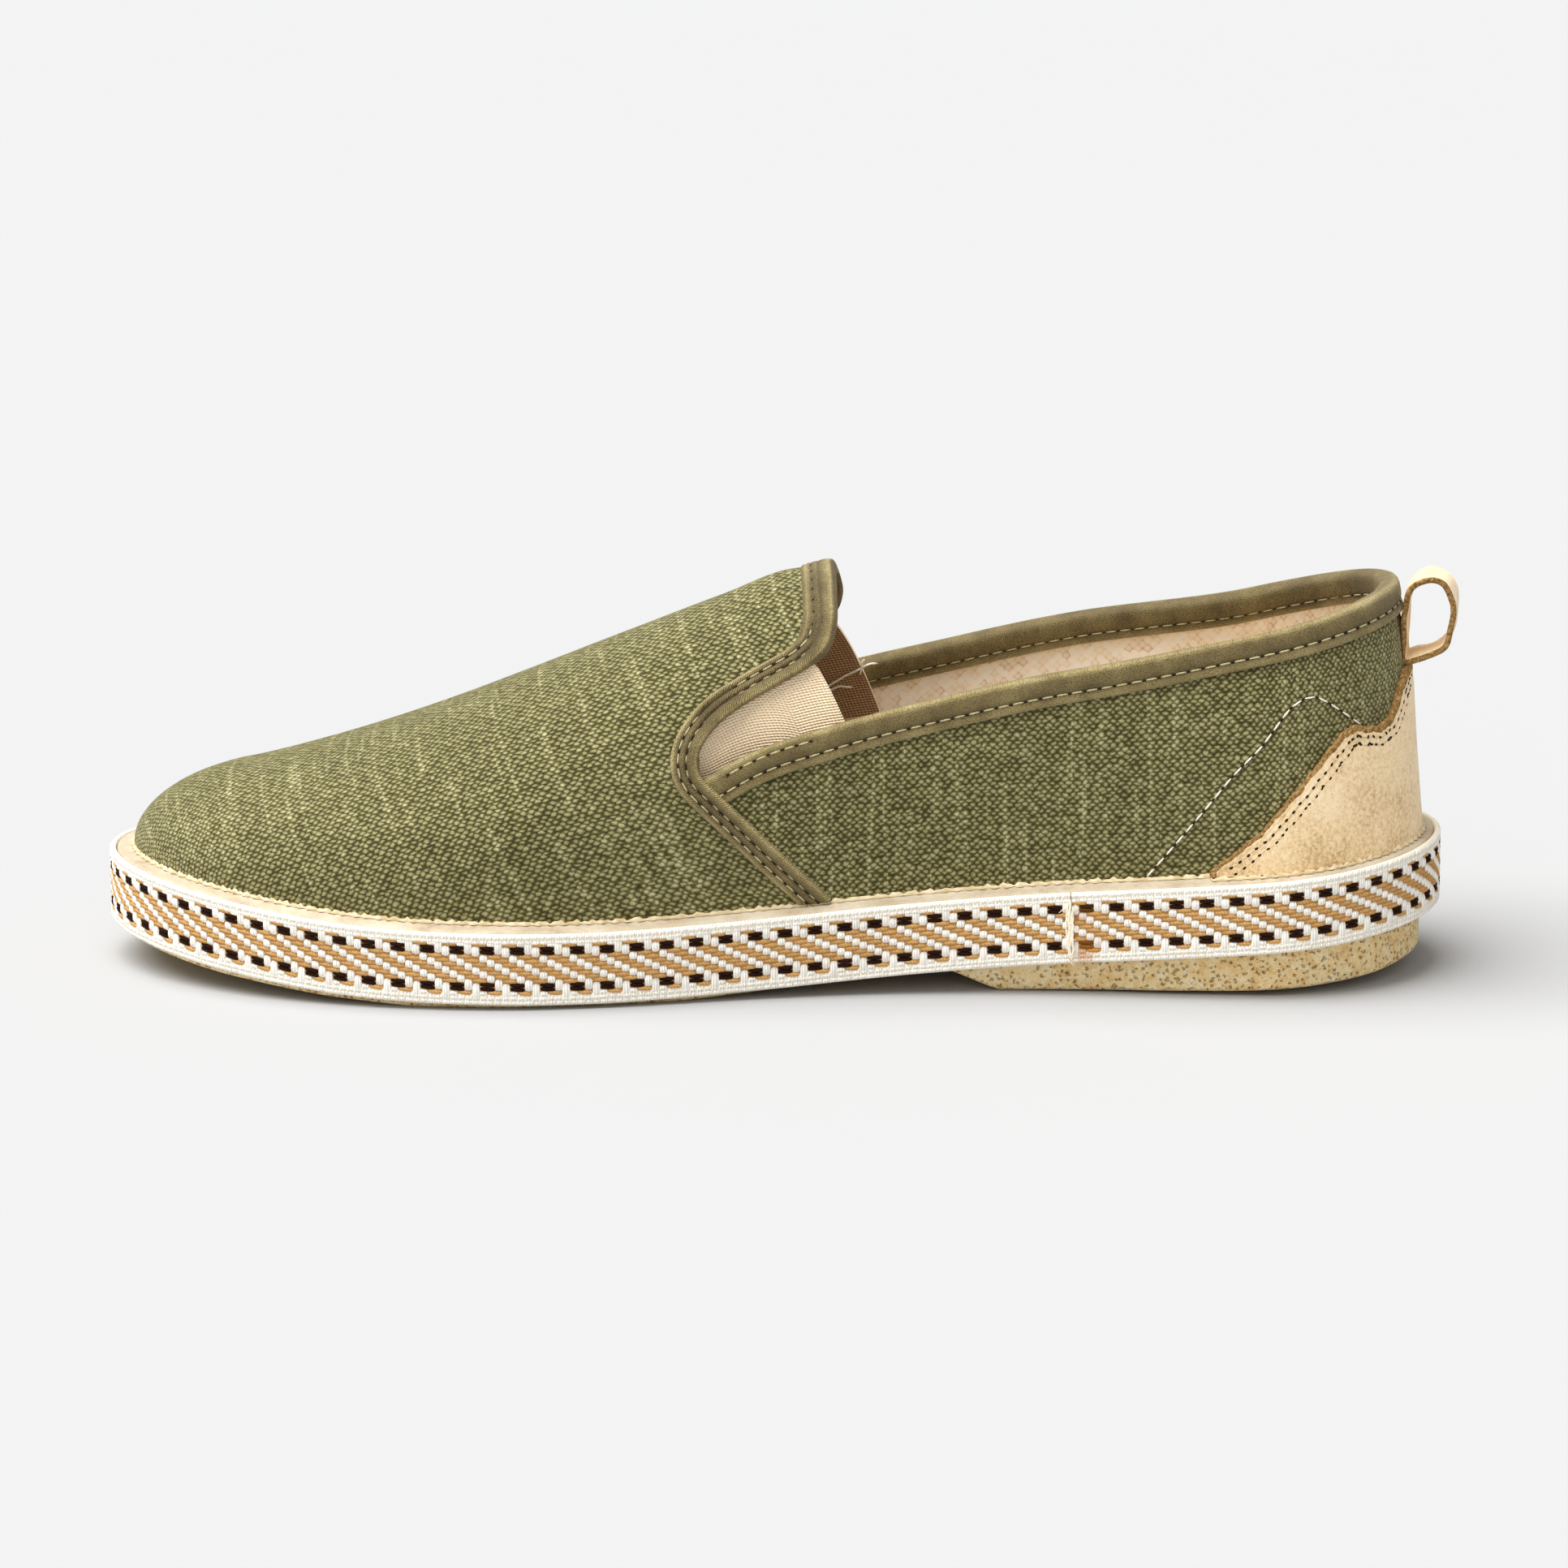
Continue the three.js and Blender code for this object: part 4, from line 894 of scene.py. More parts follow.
# The knuckles' rise drives the colour: painted shade in the gaps, painted highlight on the crowns.
colour = ramp(tree, level, [
    (0.0, "#322d14"), (0.22, "#4c4623"), (0.5, "#757044"), (0.75, "#979166"), (1.0, "#bcb58c")], 0.45, 2.0)
finish_material(tree, colour, 0.9, 0.2, (0.8, 0.00045, weighed(tree, rise, (fibre, 0.25), (thick, 0.4))), {
    "Sheen Weight": 0.4, "Sheen Roughness": 0.45, "Sheen Tint": linear("#e9e2b8")})

# Cotton lining: pinkish beige, a plain weave of 0.9 mm, matte.
lining, tree, _ = new_material("beige_cotton_lining")
uv = add_node(tree, "UVMap", uv_map="cloth")
weave = add_node(tree, "Mapping", {"Vector": uv, "Rotation": diagonal, "Scale": (0.66, 0.66, 1)})
knuckle = add_node(tree, "TexVoronoi", {"Vector": weave, "Scale": 1.0, "Randomness": 0.3},
    voronoi_dimensions="2D")
tone = add_node(tree, "SeparateColor", {0: knuckle.outputs["Color"]})
colour = ramp(tree, weighed(tree, tone, (knuckle, -1.0)), [
    (0.0, "#a1876a"), (0.3, "#f5e3c8"), (0.55, "#fff3dd"), (1.0, "#fffbf0")], -0.9, 1.0)
finish_material(tree, colour, 0.92, 0.2, (-0.7, 0.00035, knuckle))

cloth_sheet("vamp_canvas", canvas, vamp_grid(96, 150), vamp_map, canvas_offs, ["upper"], folded=True)
cloth_sheet("vamp_lining", lining, vamp_grid(48, 75, margin=0.5), vamp_map, lining_offs, folded=True)


# Quarters: one canvas wall round the heel from the vamp's edge on one side to the other, its front
# corners under the vamp's binding and its top edge in the collar binding.
quarter_front = 0.5465


def topline_angle(station):
    """Angle of the quarters' top edge, where the height over the ledge as a share of the ridge's
    height is the topline table's, found by halving."""
    low, high = np.zeros_like(station), np.full_like(station, math.pi / 2)
    for _ in range(30):
        angle = (low + high) / 2
        point = last_point(station, angle)
        base = feather_at(point[..., 0])
        up = (point[..., 2] - base) / (ridge_at(point[..., 0]) - base)
        past = up > cubic(topline_table, "up", point[..., 0] / sole_length)
        low, high = np.where(past, low, angle), np.where(past, angle, high)
    return (low + high) / 2


def quarter_grid(rows, columns):
    """Stations and angles of the quarters: even arc round the heel, rows from the ledge, or from the
    vamp's edge where that lies over it, to the topline."""
    front_arc = np.interp(station_at(quarter_front * sole_length), dense, dense_arc)
    station = np.interp(np.linspace(0, front_arc, columns), dense_arc, dense)
    station = np.concatenate([-station[:0:-1], station])
    top = topline_angle(station)
    foot = np.minimum(np.interp(np.abs(station), vamp_station[:80], vamp_angle[:80]), top - 0.01)
    angle = foot + (top - foot) * np.linspace(0, 1, rows)[:, None]
    return np.broadcast_to(station, angle.shape), angle


def quarter_map(station, angle):
    """Cloth map of the quarters: arc round the sole and distance up from the ledge."""
    arc = np.interp(np.abs(station), dense, dense_arc) * np.sign(station)
    return np.stack([arc, girth(station, 0 * angle) - girth(station, angle)], axis=-1).reshape(-1, 2)


cloth_sheet("quarter_canvas", canvas, quarter_grid(46, 170), quarter_map, canvas_offs, ["upper"])
cloth_sheet("quarter_lining", lining, quarter_grid(30, 100), quarter_map, lining_offs)


# Vamp binding: bias-cut cotton twill folded over the raw edge and sewn down. It lies flat on the
# quarter, turns down over the gore's edge and is rolled thick round the tab.
binding_thickness = 0.8
near = clearance - 0.18
stitch_pitch = 3.2
row_b, row_a = -3.1, -1.45
binding_table = {
    "across": [-4.75, -4.7, -4.4, -3.8, -3.4, -3.1, -2.8, -2.3, -1.8, -1.5, -1.2, -0.7, 0.0, 0.6, 1.0, 1.15,
               1.15, 1.05],
    "off": [0.35, 0.7, 0.95, 1.02, 0.9, 0.62, 0.86, 0.96, 0.9, 0.6, 0.92, 1.15, 1.25, 1.15, 0.85, 0.4, 0.0,
            0.0],
}


def eased(value, start, stop):
    """Smooth step from 0 at start to 1 at stop."""
    t = np.clip((value - start) / (stop - start), 0, 1)
    return t * t * (3 - 2 * t)


def along_line(station, angle, count):
    """The line at even distances over the last, with those distances."""
    arc = arcs(last_point(station, angle), 0)
    at = np.linspace(0, arc[-1], count)
    return np.interp(at, arc, station), np.interp(at, arc, angle), at


def across_line(station, angle, side, across):
    """Stations and angles at distances over the last to one side of a line, a row for each point."""
    along = unit(np.gradient(last_point(station, angle), axis=0))
    way = unit(side * np.cross(last_normal(station, angle), along))
    return walk(station[:, None], angle[:, None], way[:, None, :], across)


def refined(path, count):
    """A broken line resampled at even distances."""
    path = np.array(path, float)
    arc = np.concatenate([[0], np.cumsum(np.linalg.norm(np.diff(path, axis=0), axis=1))])
    at = np.linspace(0, arc[-1], count)
    return np.stack([np.interp(at, arc, path[:, k]) for k in range(path.shape[1])], axis=1)


def bind(name, line, side, across, off, fold_pale_seam_shade, replaced):
    """Binding along a line of stations, angles and distances, from rings of places across it and off
    the last that hold an outer row and then an inner row in reverse. Its ends are cut at the ledge."""
    station, angle = across_line(*line[:2], side, across)
    rings, count = across.shape
    k = np.arange(count // 2 - 1)
    cap = np.stack([k, k + 1, count - 2 - k, count - 1 - k], axis=1)
    points = surface(station, np.clip(angle, 0.0, math.pi), off).reshape(-1, 3)
    faces = np.concatenate([ring_faces(rings, count), cap, (cap + (rings - 1) * count)[:, ::-1]])
    cloth = np.stack(np.broadcast_arrays(line[2][:, None], across + off), axis=-1).reshape(-1, 2)
    make_piece(name, points, turned_out(points, faces), [twill], "twill", [replaced], uv=cloth,
               values={"fold_pale_seam_shade": fold_pale_seam_shade.ravel()}, crease=70)


def pods(middles, along, normals, half_length, half_width, half_height):
    """Small closed pods on a surface: six-sided, round across and blunt at both ends."""
    along = unit(along)
    normals = unit(normals - along * (normals * along).sum(-1, keepdims=True))
    sides = np.cross(normals, along)
    at = np.array([-1, -0.86, -0.4, 0.4, 0.86, 1])[:, None, None]
    girth = np.array([0.0, 0.62, 1.0, 1.0, 0.62, 0.0])[:, None, None]
    turn = (np.arange(6) * math.pi / 3)[:, None]
    along, sides, normals = (
        (way * np.broadcast_to(size, len(middles))[:, None])[:, None, None]
        for way, size in ((along, half_length), (sides, half_width), (normals, half_height)))
    points = middles[:, None, None] + along * at + girth * (sides * np.cos(turn) + normals * np.sin(turn))
    return points.reshape(-1, 3), repeated(ring_faces(6, 6)[:, ::-1], len(middles), 36)


def seam(line, side, across, off, share, start=0.0, stop=1.0, phase=0.0, pitch=stitch_pitch):
    """Middles, directions and normals of the stitches of a seam beside a line, and the places of its
    needle holes, one at each end of a stitch. Where the line bends so tightly that the seam would turn
    back on itself, its loop is left out."""
    at_station, at_angle = (v[:, 0] for v in across_line(*line[:2], side, np.full((len(line[0]), 1), across)))
    path, normal = surface(at_station, at_angle, off), last_normal(at_station, at_angle)
    clear = np.linalg.norm(path[:, None] - surface(*line[:2], off), axis=2).min(axis=1) >= 0.9 * abs(across)
    path, normal = path[clear], normal[clear]
    arc = arcs(path, 0)

    def pick(at, rows):
        """Rows between those given for the arc."""
        return np.stack([np.interp(at, arc, rows[:, k]) for k in range(3)], axis=1)

    hole = np.arange(arc[-1] * start + phase * pitch, arc[-1] * stop, pitch)
    inset = pitch * (1 - share) / 2
    first, last = pick(hole[:-1] + inset, path), pick(hole[1:] - inset, path)
    way = pick(np.minimum(hole + 0.3, arc[-1]), path) - pick(np.maximum(hole - 0.3, 0), path)
    stitches = (first + last) / 2, last - first, pick((hole[:-1] + hole[1:]) / 2, normal)
    return stitches, (pick(hole, path), way, pick(hole, normal))


def sew(parts, row, half_width, pit_length, pit_width):
    """Adds a seam's stitches and needle holes to the two lists of pods."""
    (middles, way, normals), (holes, hole_way, hole_normals) = row
    half_length = np.linalg.norm(way, axis=1) / 2
    parts[0].append(pods(middles, way, normals, half_length, half_width, half_width * 0.8))
    parts[1].append(pods(holes + 0.07 * hole_normals, hole_way, hole_normals, pit_length, pit_width, 0.1))


def sewn(name, parts, thread, slot):
    """The pieces of a seam: all its stitches, and all its needle holes."""
    make_piece(name + "_stitches", *joined(parts[0]), [thread], slot)
    make_piece(name + "_needle_holes", *joined(parts[1]), [dark_pit], slot)


# Cotton twill: khaki, its fine diagonal ribs 0.55 mm apart, with a slight sheen. It is paler along its
# folded edges, and darker along its stitch rows as painted shade.
twill, tree, place = new_material("khaki_cotton_twill")
uv = add_node(tree, "UVMap", uv_map="cloth")
# Paler along the folded edges, and darker along the stitch rows as painted shade.
fold_and_seam_tone = add_node(tree, "Attribute", attribute_name="fold_pale_seam_shade").outputs["Fac"]
parts = add_node(tree, "SeparateXYZ", {0: uv})
ribs = wave(tree, "SINE", (parts, 11.0), (parts.outputs[1], 11.0))
cells = add_node(tree, "TexVoronoi", {"Vector": uv, "Scale": 2.1, "Randomness": 0.6}, voronoi_dimensions="2D")
fibre = add_node(tree, "TexNoise", {"Vector": place, "Scale": 3000.0, "Detail": 3.0})
cloud = add_node(tree, "TexNoise", {"Vector": place, "Scale": 130.0, "Detail": 5.0, "Roughness": 0.65})
colour = ramp(tree, weighed(tree, cloud, (ribs, 0.06), (fibre, 0.3), (cells, -0.4), (fold_and_seam_tone, 0.4)), [
    (0.0, "#453a1c"), (0.35, "#71613a"), (0.65, "#908051"), (1.0, "#b9a87a")], 0.1, 1.1)
relief = weighed(tree, 0.0, (ribs, 0.4), (cells, -0.8), (cloud, 1.2))
finish_material(tree, colour, 0.75, 0.3, (0.8, 0.00028, relief),
    {"Sheen Weight": 0.15, "Sheen Roughness": 0.45})


# Sewing thread: twisted polyester-cotton, pale olive, slightly glossy. Needle holes are small dark
# pods on the surface: painted shade of the pits.
def plain_fibre(name, dark, light, roughness, scale):
    """Matte fibre material: noise of one scale between two colours."""
    made, tree, place = new_material(name)
    spots = add_node(tree, "TexNoise", {"Vector": place, "Scale": scale, "Detail": 3.0})
    finish_material(tree, ramp(tree, spots, [(0.3, dark), (0.7, light)]), roughness, 0.25,
        (0.5, 0.0001, spots))
    return made


olive_thread = plain_fibre("pale_olive_thread", "#a3986a", "#cfc498", 0.6, 2500.0)
dark_pit = plain_fibre("shaded_needle_hole", "#1c150a", "#2f2513", 0.95, 900.0)

half_rows = np.linspace(-0.35, 14, 150)
half_station = np.interp(half_rows, vamp_rows, vamp_station)
half_angle = np.interp(half_rows, vamp_rows, vamp_angle)
vamp_line = along_line(
    np.concatenate([half_station, half_station[-2::-1]]),
    np.concatenate([half_angle, math.pi - half_angle[-2::-1]]), 300)
line_station, _, line_arc = vamp_line
gore_start_arc = np.interp(station_at(0.5515 * sole_length), line_station[:80], line_arc[:80])
gore_end_arc = np.interp(station_at(0.4625 * sole_length), line_station[150:90:-1], line_arc[150:90:-1])
from_end = np.minimum(line_arc, line_arc[-1] - line_arc)[:, None]
on_quarter = 1 - eased(from_end, gore_start_arc + 1, gore_start_arc + 5)
on_tab = eased(from_end, gore_end_arc - 6, gore_end_arc + 3)
pulled = 0.5 + 0.5 * np.cos(2 * math.pi * line_arc / stitch_pitch)[:, None]
widen = 1 + 0.22 * on_tab

flat = np.array(binding_table["across"])
off = np.array(binding_table["off"]) - 0.12 * pulled * bell(flat, row_b, 0.35)
off = off - 0.14 * pulled * (1 - on_tab) * bell(flat, row_a, 0.35)
off = off + on_tab * (0.2 * bell(flat, row_a, 0.5) - 0.3 * bell(flat, 0.4, 0.9))
off = np.where(flat < -3.5, off - 0.42 * on_tab * (off > 0.5), off)
# Where it crosses the collar binding's end it is lifted by its thickness.
off += binding_thickness * np.exp(-((from_end - gore_start_arc + 1.5) / 4.2) ** 4)
lip = 0.06 * on_quarter + (1 - on_quarter) * (-0.45 * (1 - on_tab) - 2.6 * on_tab)
off[:, -2] = (off[:, -3] + lip[:, 0]) / 2
off[:, -1] = lip[:, 0]
off[:, 0] = near
inner_flat = np.linspace(1.0, -4.6, len(flat)) + 0 * on_tab
inner_flat = np.where(inner_flat < 0, inner_flat * widen, inner_flat)
inner_off = np.where(inner_flat > 0.3, lip, np.where(inner_flat > 0, np.minimum(near, lip + 0.4), near))
across = np.concatenate([np.where(flat < 0, flat * widen, flat), inner_flat], axis=1)
# Paler along the folds, and darker along both stitch rows as painted shade.
fold_pale_seam_shade = bell(across, -4.5, 0.4) + 0.9 * bell(across, 0.5, 0.5) - 0.6 * (
    bell(across, row_a, 0.5) + bell(across, row_b, 0.4))
bind("vamp_edge_binding", vamp_line, -1, across, np.concatenate([off, inner_off], axis=1), fold_pale_seam_shade,
    "vamp_binding")

parts = ([], [])
sew(parts, seam(vamp_line, -1, row_b * 1.05, 0.74, 0.74), 0.2, 0.42, 0.26)
tab_share = gore_end_arc / line_arc[-1]
for start, stop in ((0.0, tab_share), (1 - tab_share, 1.0)):
    sew(parts, seam(vamp_line, -1, row_a, 0.66, 0.5, start, stop, 0.5), 0.15, 0.6, 0.36)
sewn("vamp_binding", parts, olive_thread, "twill")


# Collar binding: the same twill folded over the quarters' top edge and cemented down inside, with a
# second short row at both ends. Its inner leg is puckered round the tight bend of the heel.
collar_front = 0.5455
row_main, row_short = -3.7, -0.7
short_length = 26.0
bare_length = 5.5
fold_table = {
    "across": [-5.7, -5.72, -5.5, -5.0, -4.4, -4.0, -3.7, -3.4, -3.0, -2.3, -1.4, -0.5, 0.3, 0.85, 1.12, 1.22,
               1.2, 1.12, 0.9, 0.5, -0.3, -1.5, -2.8, -3.5, -3.7, -3.9, -4.6, -5.3, -5.6, -5.7],
    "off": [0.15, 0.6, 0.92, 1.02, 0.95, 0.78, 0.6, 0.8, 1.0, 1.15, 1.25, 1.3, 1.2, 0.85, 0.35, -0.4, -1.2,
            -2.0, -2.6, -3.0, -3.2, -3.25, -3.15, -2.95, -2.85, -2.95, -3.15, -3.1, -2.9, -2.5],
}

side_station = np.linspace(0, station_at(collar_front * sole_length), 260)
collar_station = np.concatenate([side_station[::-1], -side_station[1:]])
collar_line = along_line(collar_station, topline_angle(collar_station), 420)
collar_arc = collar_line[2][:, None]
pulled = 0.5 + 0.5 * np.cos(2 * math.pi * collar_arc / stitch_pitch)
fold = np.stack([fold_table["across"], fold_table["off"]], axis=1)
inside_fold = refined([(-5.6, -2.15), (0.3, -2.15), (0.3, 0.12), (-5.6, 0.12)], len(fold))
flat, off = np.concatenate([fold, inside_fold]).T
outside_leg = off > 0.3
inner_leg = (off < -1.5) & (np.abs(flat) < 5.0)
from_front = np.minimum(collar_arc, collar_arc[-1] - collar_arc)
short = 1 - eased(from_front, short_length, short_length + 3)
pucker = 0.5 * bell(collar_arc, collar_arc[-1] / 2, 22.0)
pucker = pucker * np.sin(collar_arc / 2.1) * np.sin(collar_arc / 5.3 + 1.0)
off = off - outside_leg * (
    0.14 * pulled * bell(flat, row_main, 0.35) + short * (0.3 + 0.12 * pulled) * bell(flat, row_short, 0.4))
off = off + pucker * inner_leg
off = np.where(off > 0, off * (1 - 0.45 * (1 - eased(from_front, 2.0, 7.0))), off)
across = flat + 0 * off
# Paler along the folds, and darker along the main stitch row as painted shade.
fold_pale_seam_shade = 0.9 * bell(across, -5.4, 0.5) + 0.9 * bell(across, 0.5, 0.7) * (off > 0)
fold_pale_seam_shade = fold_pale_seam_shade - 0.6 * bell(across, row_main, 0.45)
bind("collar_edge_binding", collar_line, 1, across, off, fold_pale_seam_shade, "collar_binding")

parts = ([], [])
sew(parts, seam(collar_line, 1, row_main, 0.72, 0.76), 0.2, 0.42, 0.26)
short_share, bare_share = short_length / collar_arc[-1, 0], bare_length / collar_arc[-1, 0]
for start, stop in ((bare_share, short_share), (1 - short_share, 1 - bare_share)):
    sew(parts, seam(collar_line, 1, row_short, 1.08, 0.7, start, stop), 0.2, 0.42, 0.26)
sew(parts, seam(collar_line, 1, row_main, -2.95, 0.74), 0.17, 0.32, 0.2)
sewn("collar_binding", parts, olive_thread, "twill")


# Gores: two pieces of woven elastic webbing sewn inside the quarter and under the vamp's edge. They
# let the opening stretch; their ribs run forwards, and the free rear edge is a corded selvedge.
gore_table = {
    "inner": {"rear_low": 0.4425, "rear_high": 0.468, "front_low": 0.547, "front_high": 0.549, "side": 1},
    "outer": {"rear_low": 0.437, "rear_high": 0.463, "front_low": 0.547, "front_high": 0.549, "side": -1},
}
gore_down = 0.62
gore_thickness = 0.9
low_margin = clearance + binding_thickness + clearance
rib_pitch, pick_pitch = 0.61, 0.74
vamp_side = (vamp_up > 0.55) & (vamp_up < 0.79)
edge_order = np.argsort(vamp_at[vamp_side])
edge_at, edge_up = vamp_at[vamp_side][edge_order], vamp_up[vamp_side][edge_order]

# Elastic webbing: ribs 0.6 mm apart over rubber threads, crossed by fine brown picks, with a dull
# sheen. Its face is beige; its back, which faces into the shoe, is a darker, browner copy: painted shade.
webbing_sides = []
# The second material is the same webbing, darker and browner: painted shade for the back.
for name, stops in (
        ("beige_elastic_webbing", [(0.0, "#a06f42"), (0.22, "#ecc595"), (0.45, "#ffe3b8"), (1.0, "#fff6e0")]),
        ("webbing_back_painted_shade", [(0.0, "#4a3018"), (0.3, "#8f6b48"), (0.6, "#b08c66"), (1.0, "#cdb08c")])):
    webbing, tree, _ = new_material(name)
    uv = add_node(tree, "UVMap", uv_map="cloth")
    parts = add_node(tree, "SeparateXYZ", {0: uv})
    fibre = add_node(tree, "TexNoise", {"Vector": uv, "Scale": 1.6, "Detail": 4.0}, noise_dimensions="2D")
    ribs = wave(tree, "COSINE", (parts.outputs[1], 2 * math.pi / rib_pitch))
    picks = wave(tree, "COSINE", (parts, 2 * math.pi / pick_pitch))
    level = weighed(tree, ribs, (picks, 0.45), (fibre, 0.9))
    finish_material(tree, ramp(tree, level, stops, -1.1, 1.8), 0.7, 0.3, (0.6, 0.0002, level))
    webbing_sides.append(webbing)


def gore_spot(ends, i, j):
    """Station, angle and depth of a place on a gore: i runs from its free rear edge to its front, j from
    the quarter's top edge, 0, to the vamp's edge, 1, and below 0 down inside the quarter."""
    rear = ends["rear_low"] + (ends["rear_high"] - ends["rear_low"]) * j
    front = ends["front_low"] + (ends["front_high"] - ends["front_low"]) * j
    at = rear + (front - rear) * i
    low_angle = angle_of(cubic(topline_table, "up", at), at)
    high_angle = angle_of(np.interp(at, edge_at, edge_up), at)
    station = station_at(at * sole_length)
    height = np.linalg.norm(last_point(station, high_angle) - last_point(station, low_angle), axis=-1)
    share = low_margin / height * (1 - j) + (1 - 0.2 / height) * j
    angle = low_angle + (high_angle - low_angle) * share
    return np.where(ends["side"] > 0, station, 2 - station), angle, -0.75 - 2.75 * np.clip(1 - j, 0, 1)


i, j = np.meshgrid(np.linspace(0, 1, 60), np.linspace(-gore_down, 1, 60), indexing="ij")
cord = 0.35 * bell(i, 0.02, 0.018)
for side_name, ends in gore_table.items():
    station, angle, depth = gore_spot(ends, i, j)
    outside = surface(station, angle, depth + cord)
    inside = surface(station, angle, depth - gore_thickness - cord * 0.5)
    cloth = np.stack([arcs(outside, 0), arcs(outside, 1)], axis=-1).reshape(-1, 2)
    points, faces, face_count = sheet_body(outside, inside)
    # The faces of the back take the darker copy of the webbing: painted shade.
    on_back = (np.arange(len(faces)) // face_count) == 1
    make_piece("elastic_gore_" + side_name, points, faces, webbing_sides, "elastic", ["gore_" + side_name],
               uv=np.concatenate([cloth, cloth]), indices=on_back)

# Cut ends of white thread left standing at the outer gore's rear edge: places on it and heights off it
raw_thread = plain_fibre("raw_white_thread", "#efe6d4", "#fffaf0", 0.8, 2500.0)
tail_spots = [
    [(0.36, -0.2, 0.1), (0.24, -0.13, 0.2), (0.12, -0.06, 0.15), (0.02, -0.02, 0.25), (-0.06, 0.02, 0.2),
     (-0.12, 0.0, 0.3)],
    [(0.03, -0.1, 0.15), (0.0, -0.02, 0.3), (-0.02, 0.06, 0.2), (-0.05, 0.1, 0.3)],
    [(0.32, -0.12, 0.15), (0.26, -0.2, 0.3), (0.18, -0.18, 0.2), (0.1, -0.24, 0.3)],
]
tails = []
for spots in tail_spots:
    i, j, raised = refined(spots, 16).T
    station, angle, depth = gore_spot(gore_table["outer"], i, j)
    tails.append(tube(surface(station, angle, depth - gore_thickness - 0.2 - raised), 0.24))
merged(make_piece("loose_thread_tails", *joined(tails), [raw_thread], "elastic"))


# Heel counter: a piece of tan suede cut with a curved front and a narrow tongue up the back, stuck
# over the heel and sewn with two rows. Its cut edge is raw and browner than its napped face.
counter_thickness = 1.2
counter_columns, counter_rows = 241, 44
counter_pitch = 2.3
seam_first, seam_second = 2.2, 3.8
counter_table = {
    "at": [0, 10, 17, 23, 28, 33, 40, 47, 54, 62, 76, 90, 102],
    "up": [0.325, 0.325, 0.318, 0.3, 0.272, 0.252, 0.245, 0.254, 0.262, 0.236, 0.165, 0.085, 0.012],
}
counter_turn = counter_table["at"][-1]

# Suede: split leather with a short nap, matte, mottled tan with fine grains of 0.3 mm, and darker
# low down as painted shade.
suede, tree, place = new_material("tan_suede")
nap = add_node(tree, "TexNoise", {"Vector": place, "Scale": 1150.0, "Detail": 4.0, "Roughness": 0.75})
patch = add_node(tree, "TexNoise", {"Vector": place, "Scale": 90.0, "Detail": 4.0, "Roughness": 0.6})
height = add_node(tree, "SeparateXYZ", {0: place}).outputs[2]
# Painted shade: the suede's colour darkens from 44 mm down to 18 mm over the floor.
painted_low_shade = add_node(tree, "MapRange", {0: height, 1: 0.018, 2: 0.044, 3: -0.19, 4: 0.0})
level = weighed(tree, nap, (patch, 0.5), (painted_low_shade, 1.0))
colour = ramp(tree, level, [
    (0.0, "#b89566"), (0.36, "#eccd9c"), (0.62, "#f9dfb4"), (1.0, "#ffefd0")], 0.45, 1.05)
finish_material(tree, colour, 0.95, 0.15, (0.6, 0.00022, level),
    {"Sheen Weight": 0.3, "Sheen Roughness": 0.5})

# Cut edge of the suede: coarser fibres, brown.
cut_edge, tree, place = new_material("cut_suede_edge")
rough = add_node(tree, "TexNoise", {"Vector": place, "Scale": 1300.0, "Detail": 4.0, "Roughness": 0.8})
colour = ramp(tree, rough, [(0.36, "#5e4325"), (0.5, "#94713f"), (0.64, "#c4a06a")])
finish_material(tree, colour, 0.95, 0.15, (0.9, 0.0003, rough))

turn = np.linspace(-counter_turn, counter_turn, counter_columns)
counter_station = heel_share * turn / 90
wobble = 0.0016 * np.sin(turn * 0.9) + 0.0012 * np.sin(turn * 2.3 + 1.0)
counter_top = angle_of(cubic(counter_table, "up", np.abs(turn)) + wobble, 0.0)
angle = 0.0005 + (counter_top - 0.0005) * np.linspace(0, 1, counter_rows)[:, None]
station = np.broadcast_to(counter_station, angle.shape)
base = last_point(station, angle)
top_distance = arcs(base[::-1], 0)[::-1]
front_distance = np.minimum(arcs(base, 1), arcs(base[:, ::-1], 1)[:, ::-1])
edge_distance = np.minimum(top_distance, front_distance + 3.0 * (top_distance > 3.0))
# The face dips into both seams, and it thins towards its edge.
face = clearance + counter_thickness - 0.22 * np.exp(-edge_distance / 0.8) - 0.12 * (
    bell(edge_distance, seam_first, 0.5) + bell(edge_distance, seam_second, 0.5))
outside = seated(surface(station, angle, face), angle)
inside = seated(surface(station, angle, clearance - 0.28), angle)
points, faces, face_count = sheet_body(outside, inside)
indices = np.arange(len(faces)) >= 2 * face_count
indices[:face_count] = (edge_distance[1:, 1:] < 0.85).ravel()
make_piece("suede_counter", points, faces, [suede, cut_edge], "suede", ["heel_counter"], indices=indices,
    crease=50)

# Its two seams: tonal stitches lying low between holes 2.3 mm apart
tonal_thread = plain_fibre("tan_thread", "#c4a577", "#e0c79c", 0.7, 2000.0)
counter_line = along_line(counter_station, counter_top, 500)
parts = ([], [])
for distance in (seam_first, seam_second):
    for start, stop in ((0.015, 0.44), (0.56, 0.985)):
        sew(parts, seam(counter_line, 1, distance, clearance + counter_thickness - 0.1, 0.62, start, stop,
                        pitch=counter_pitch), 0.17, 0.46, 0.26)
sewn("counter", parts, tonal_thread, "suede")


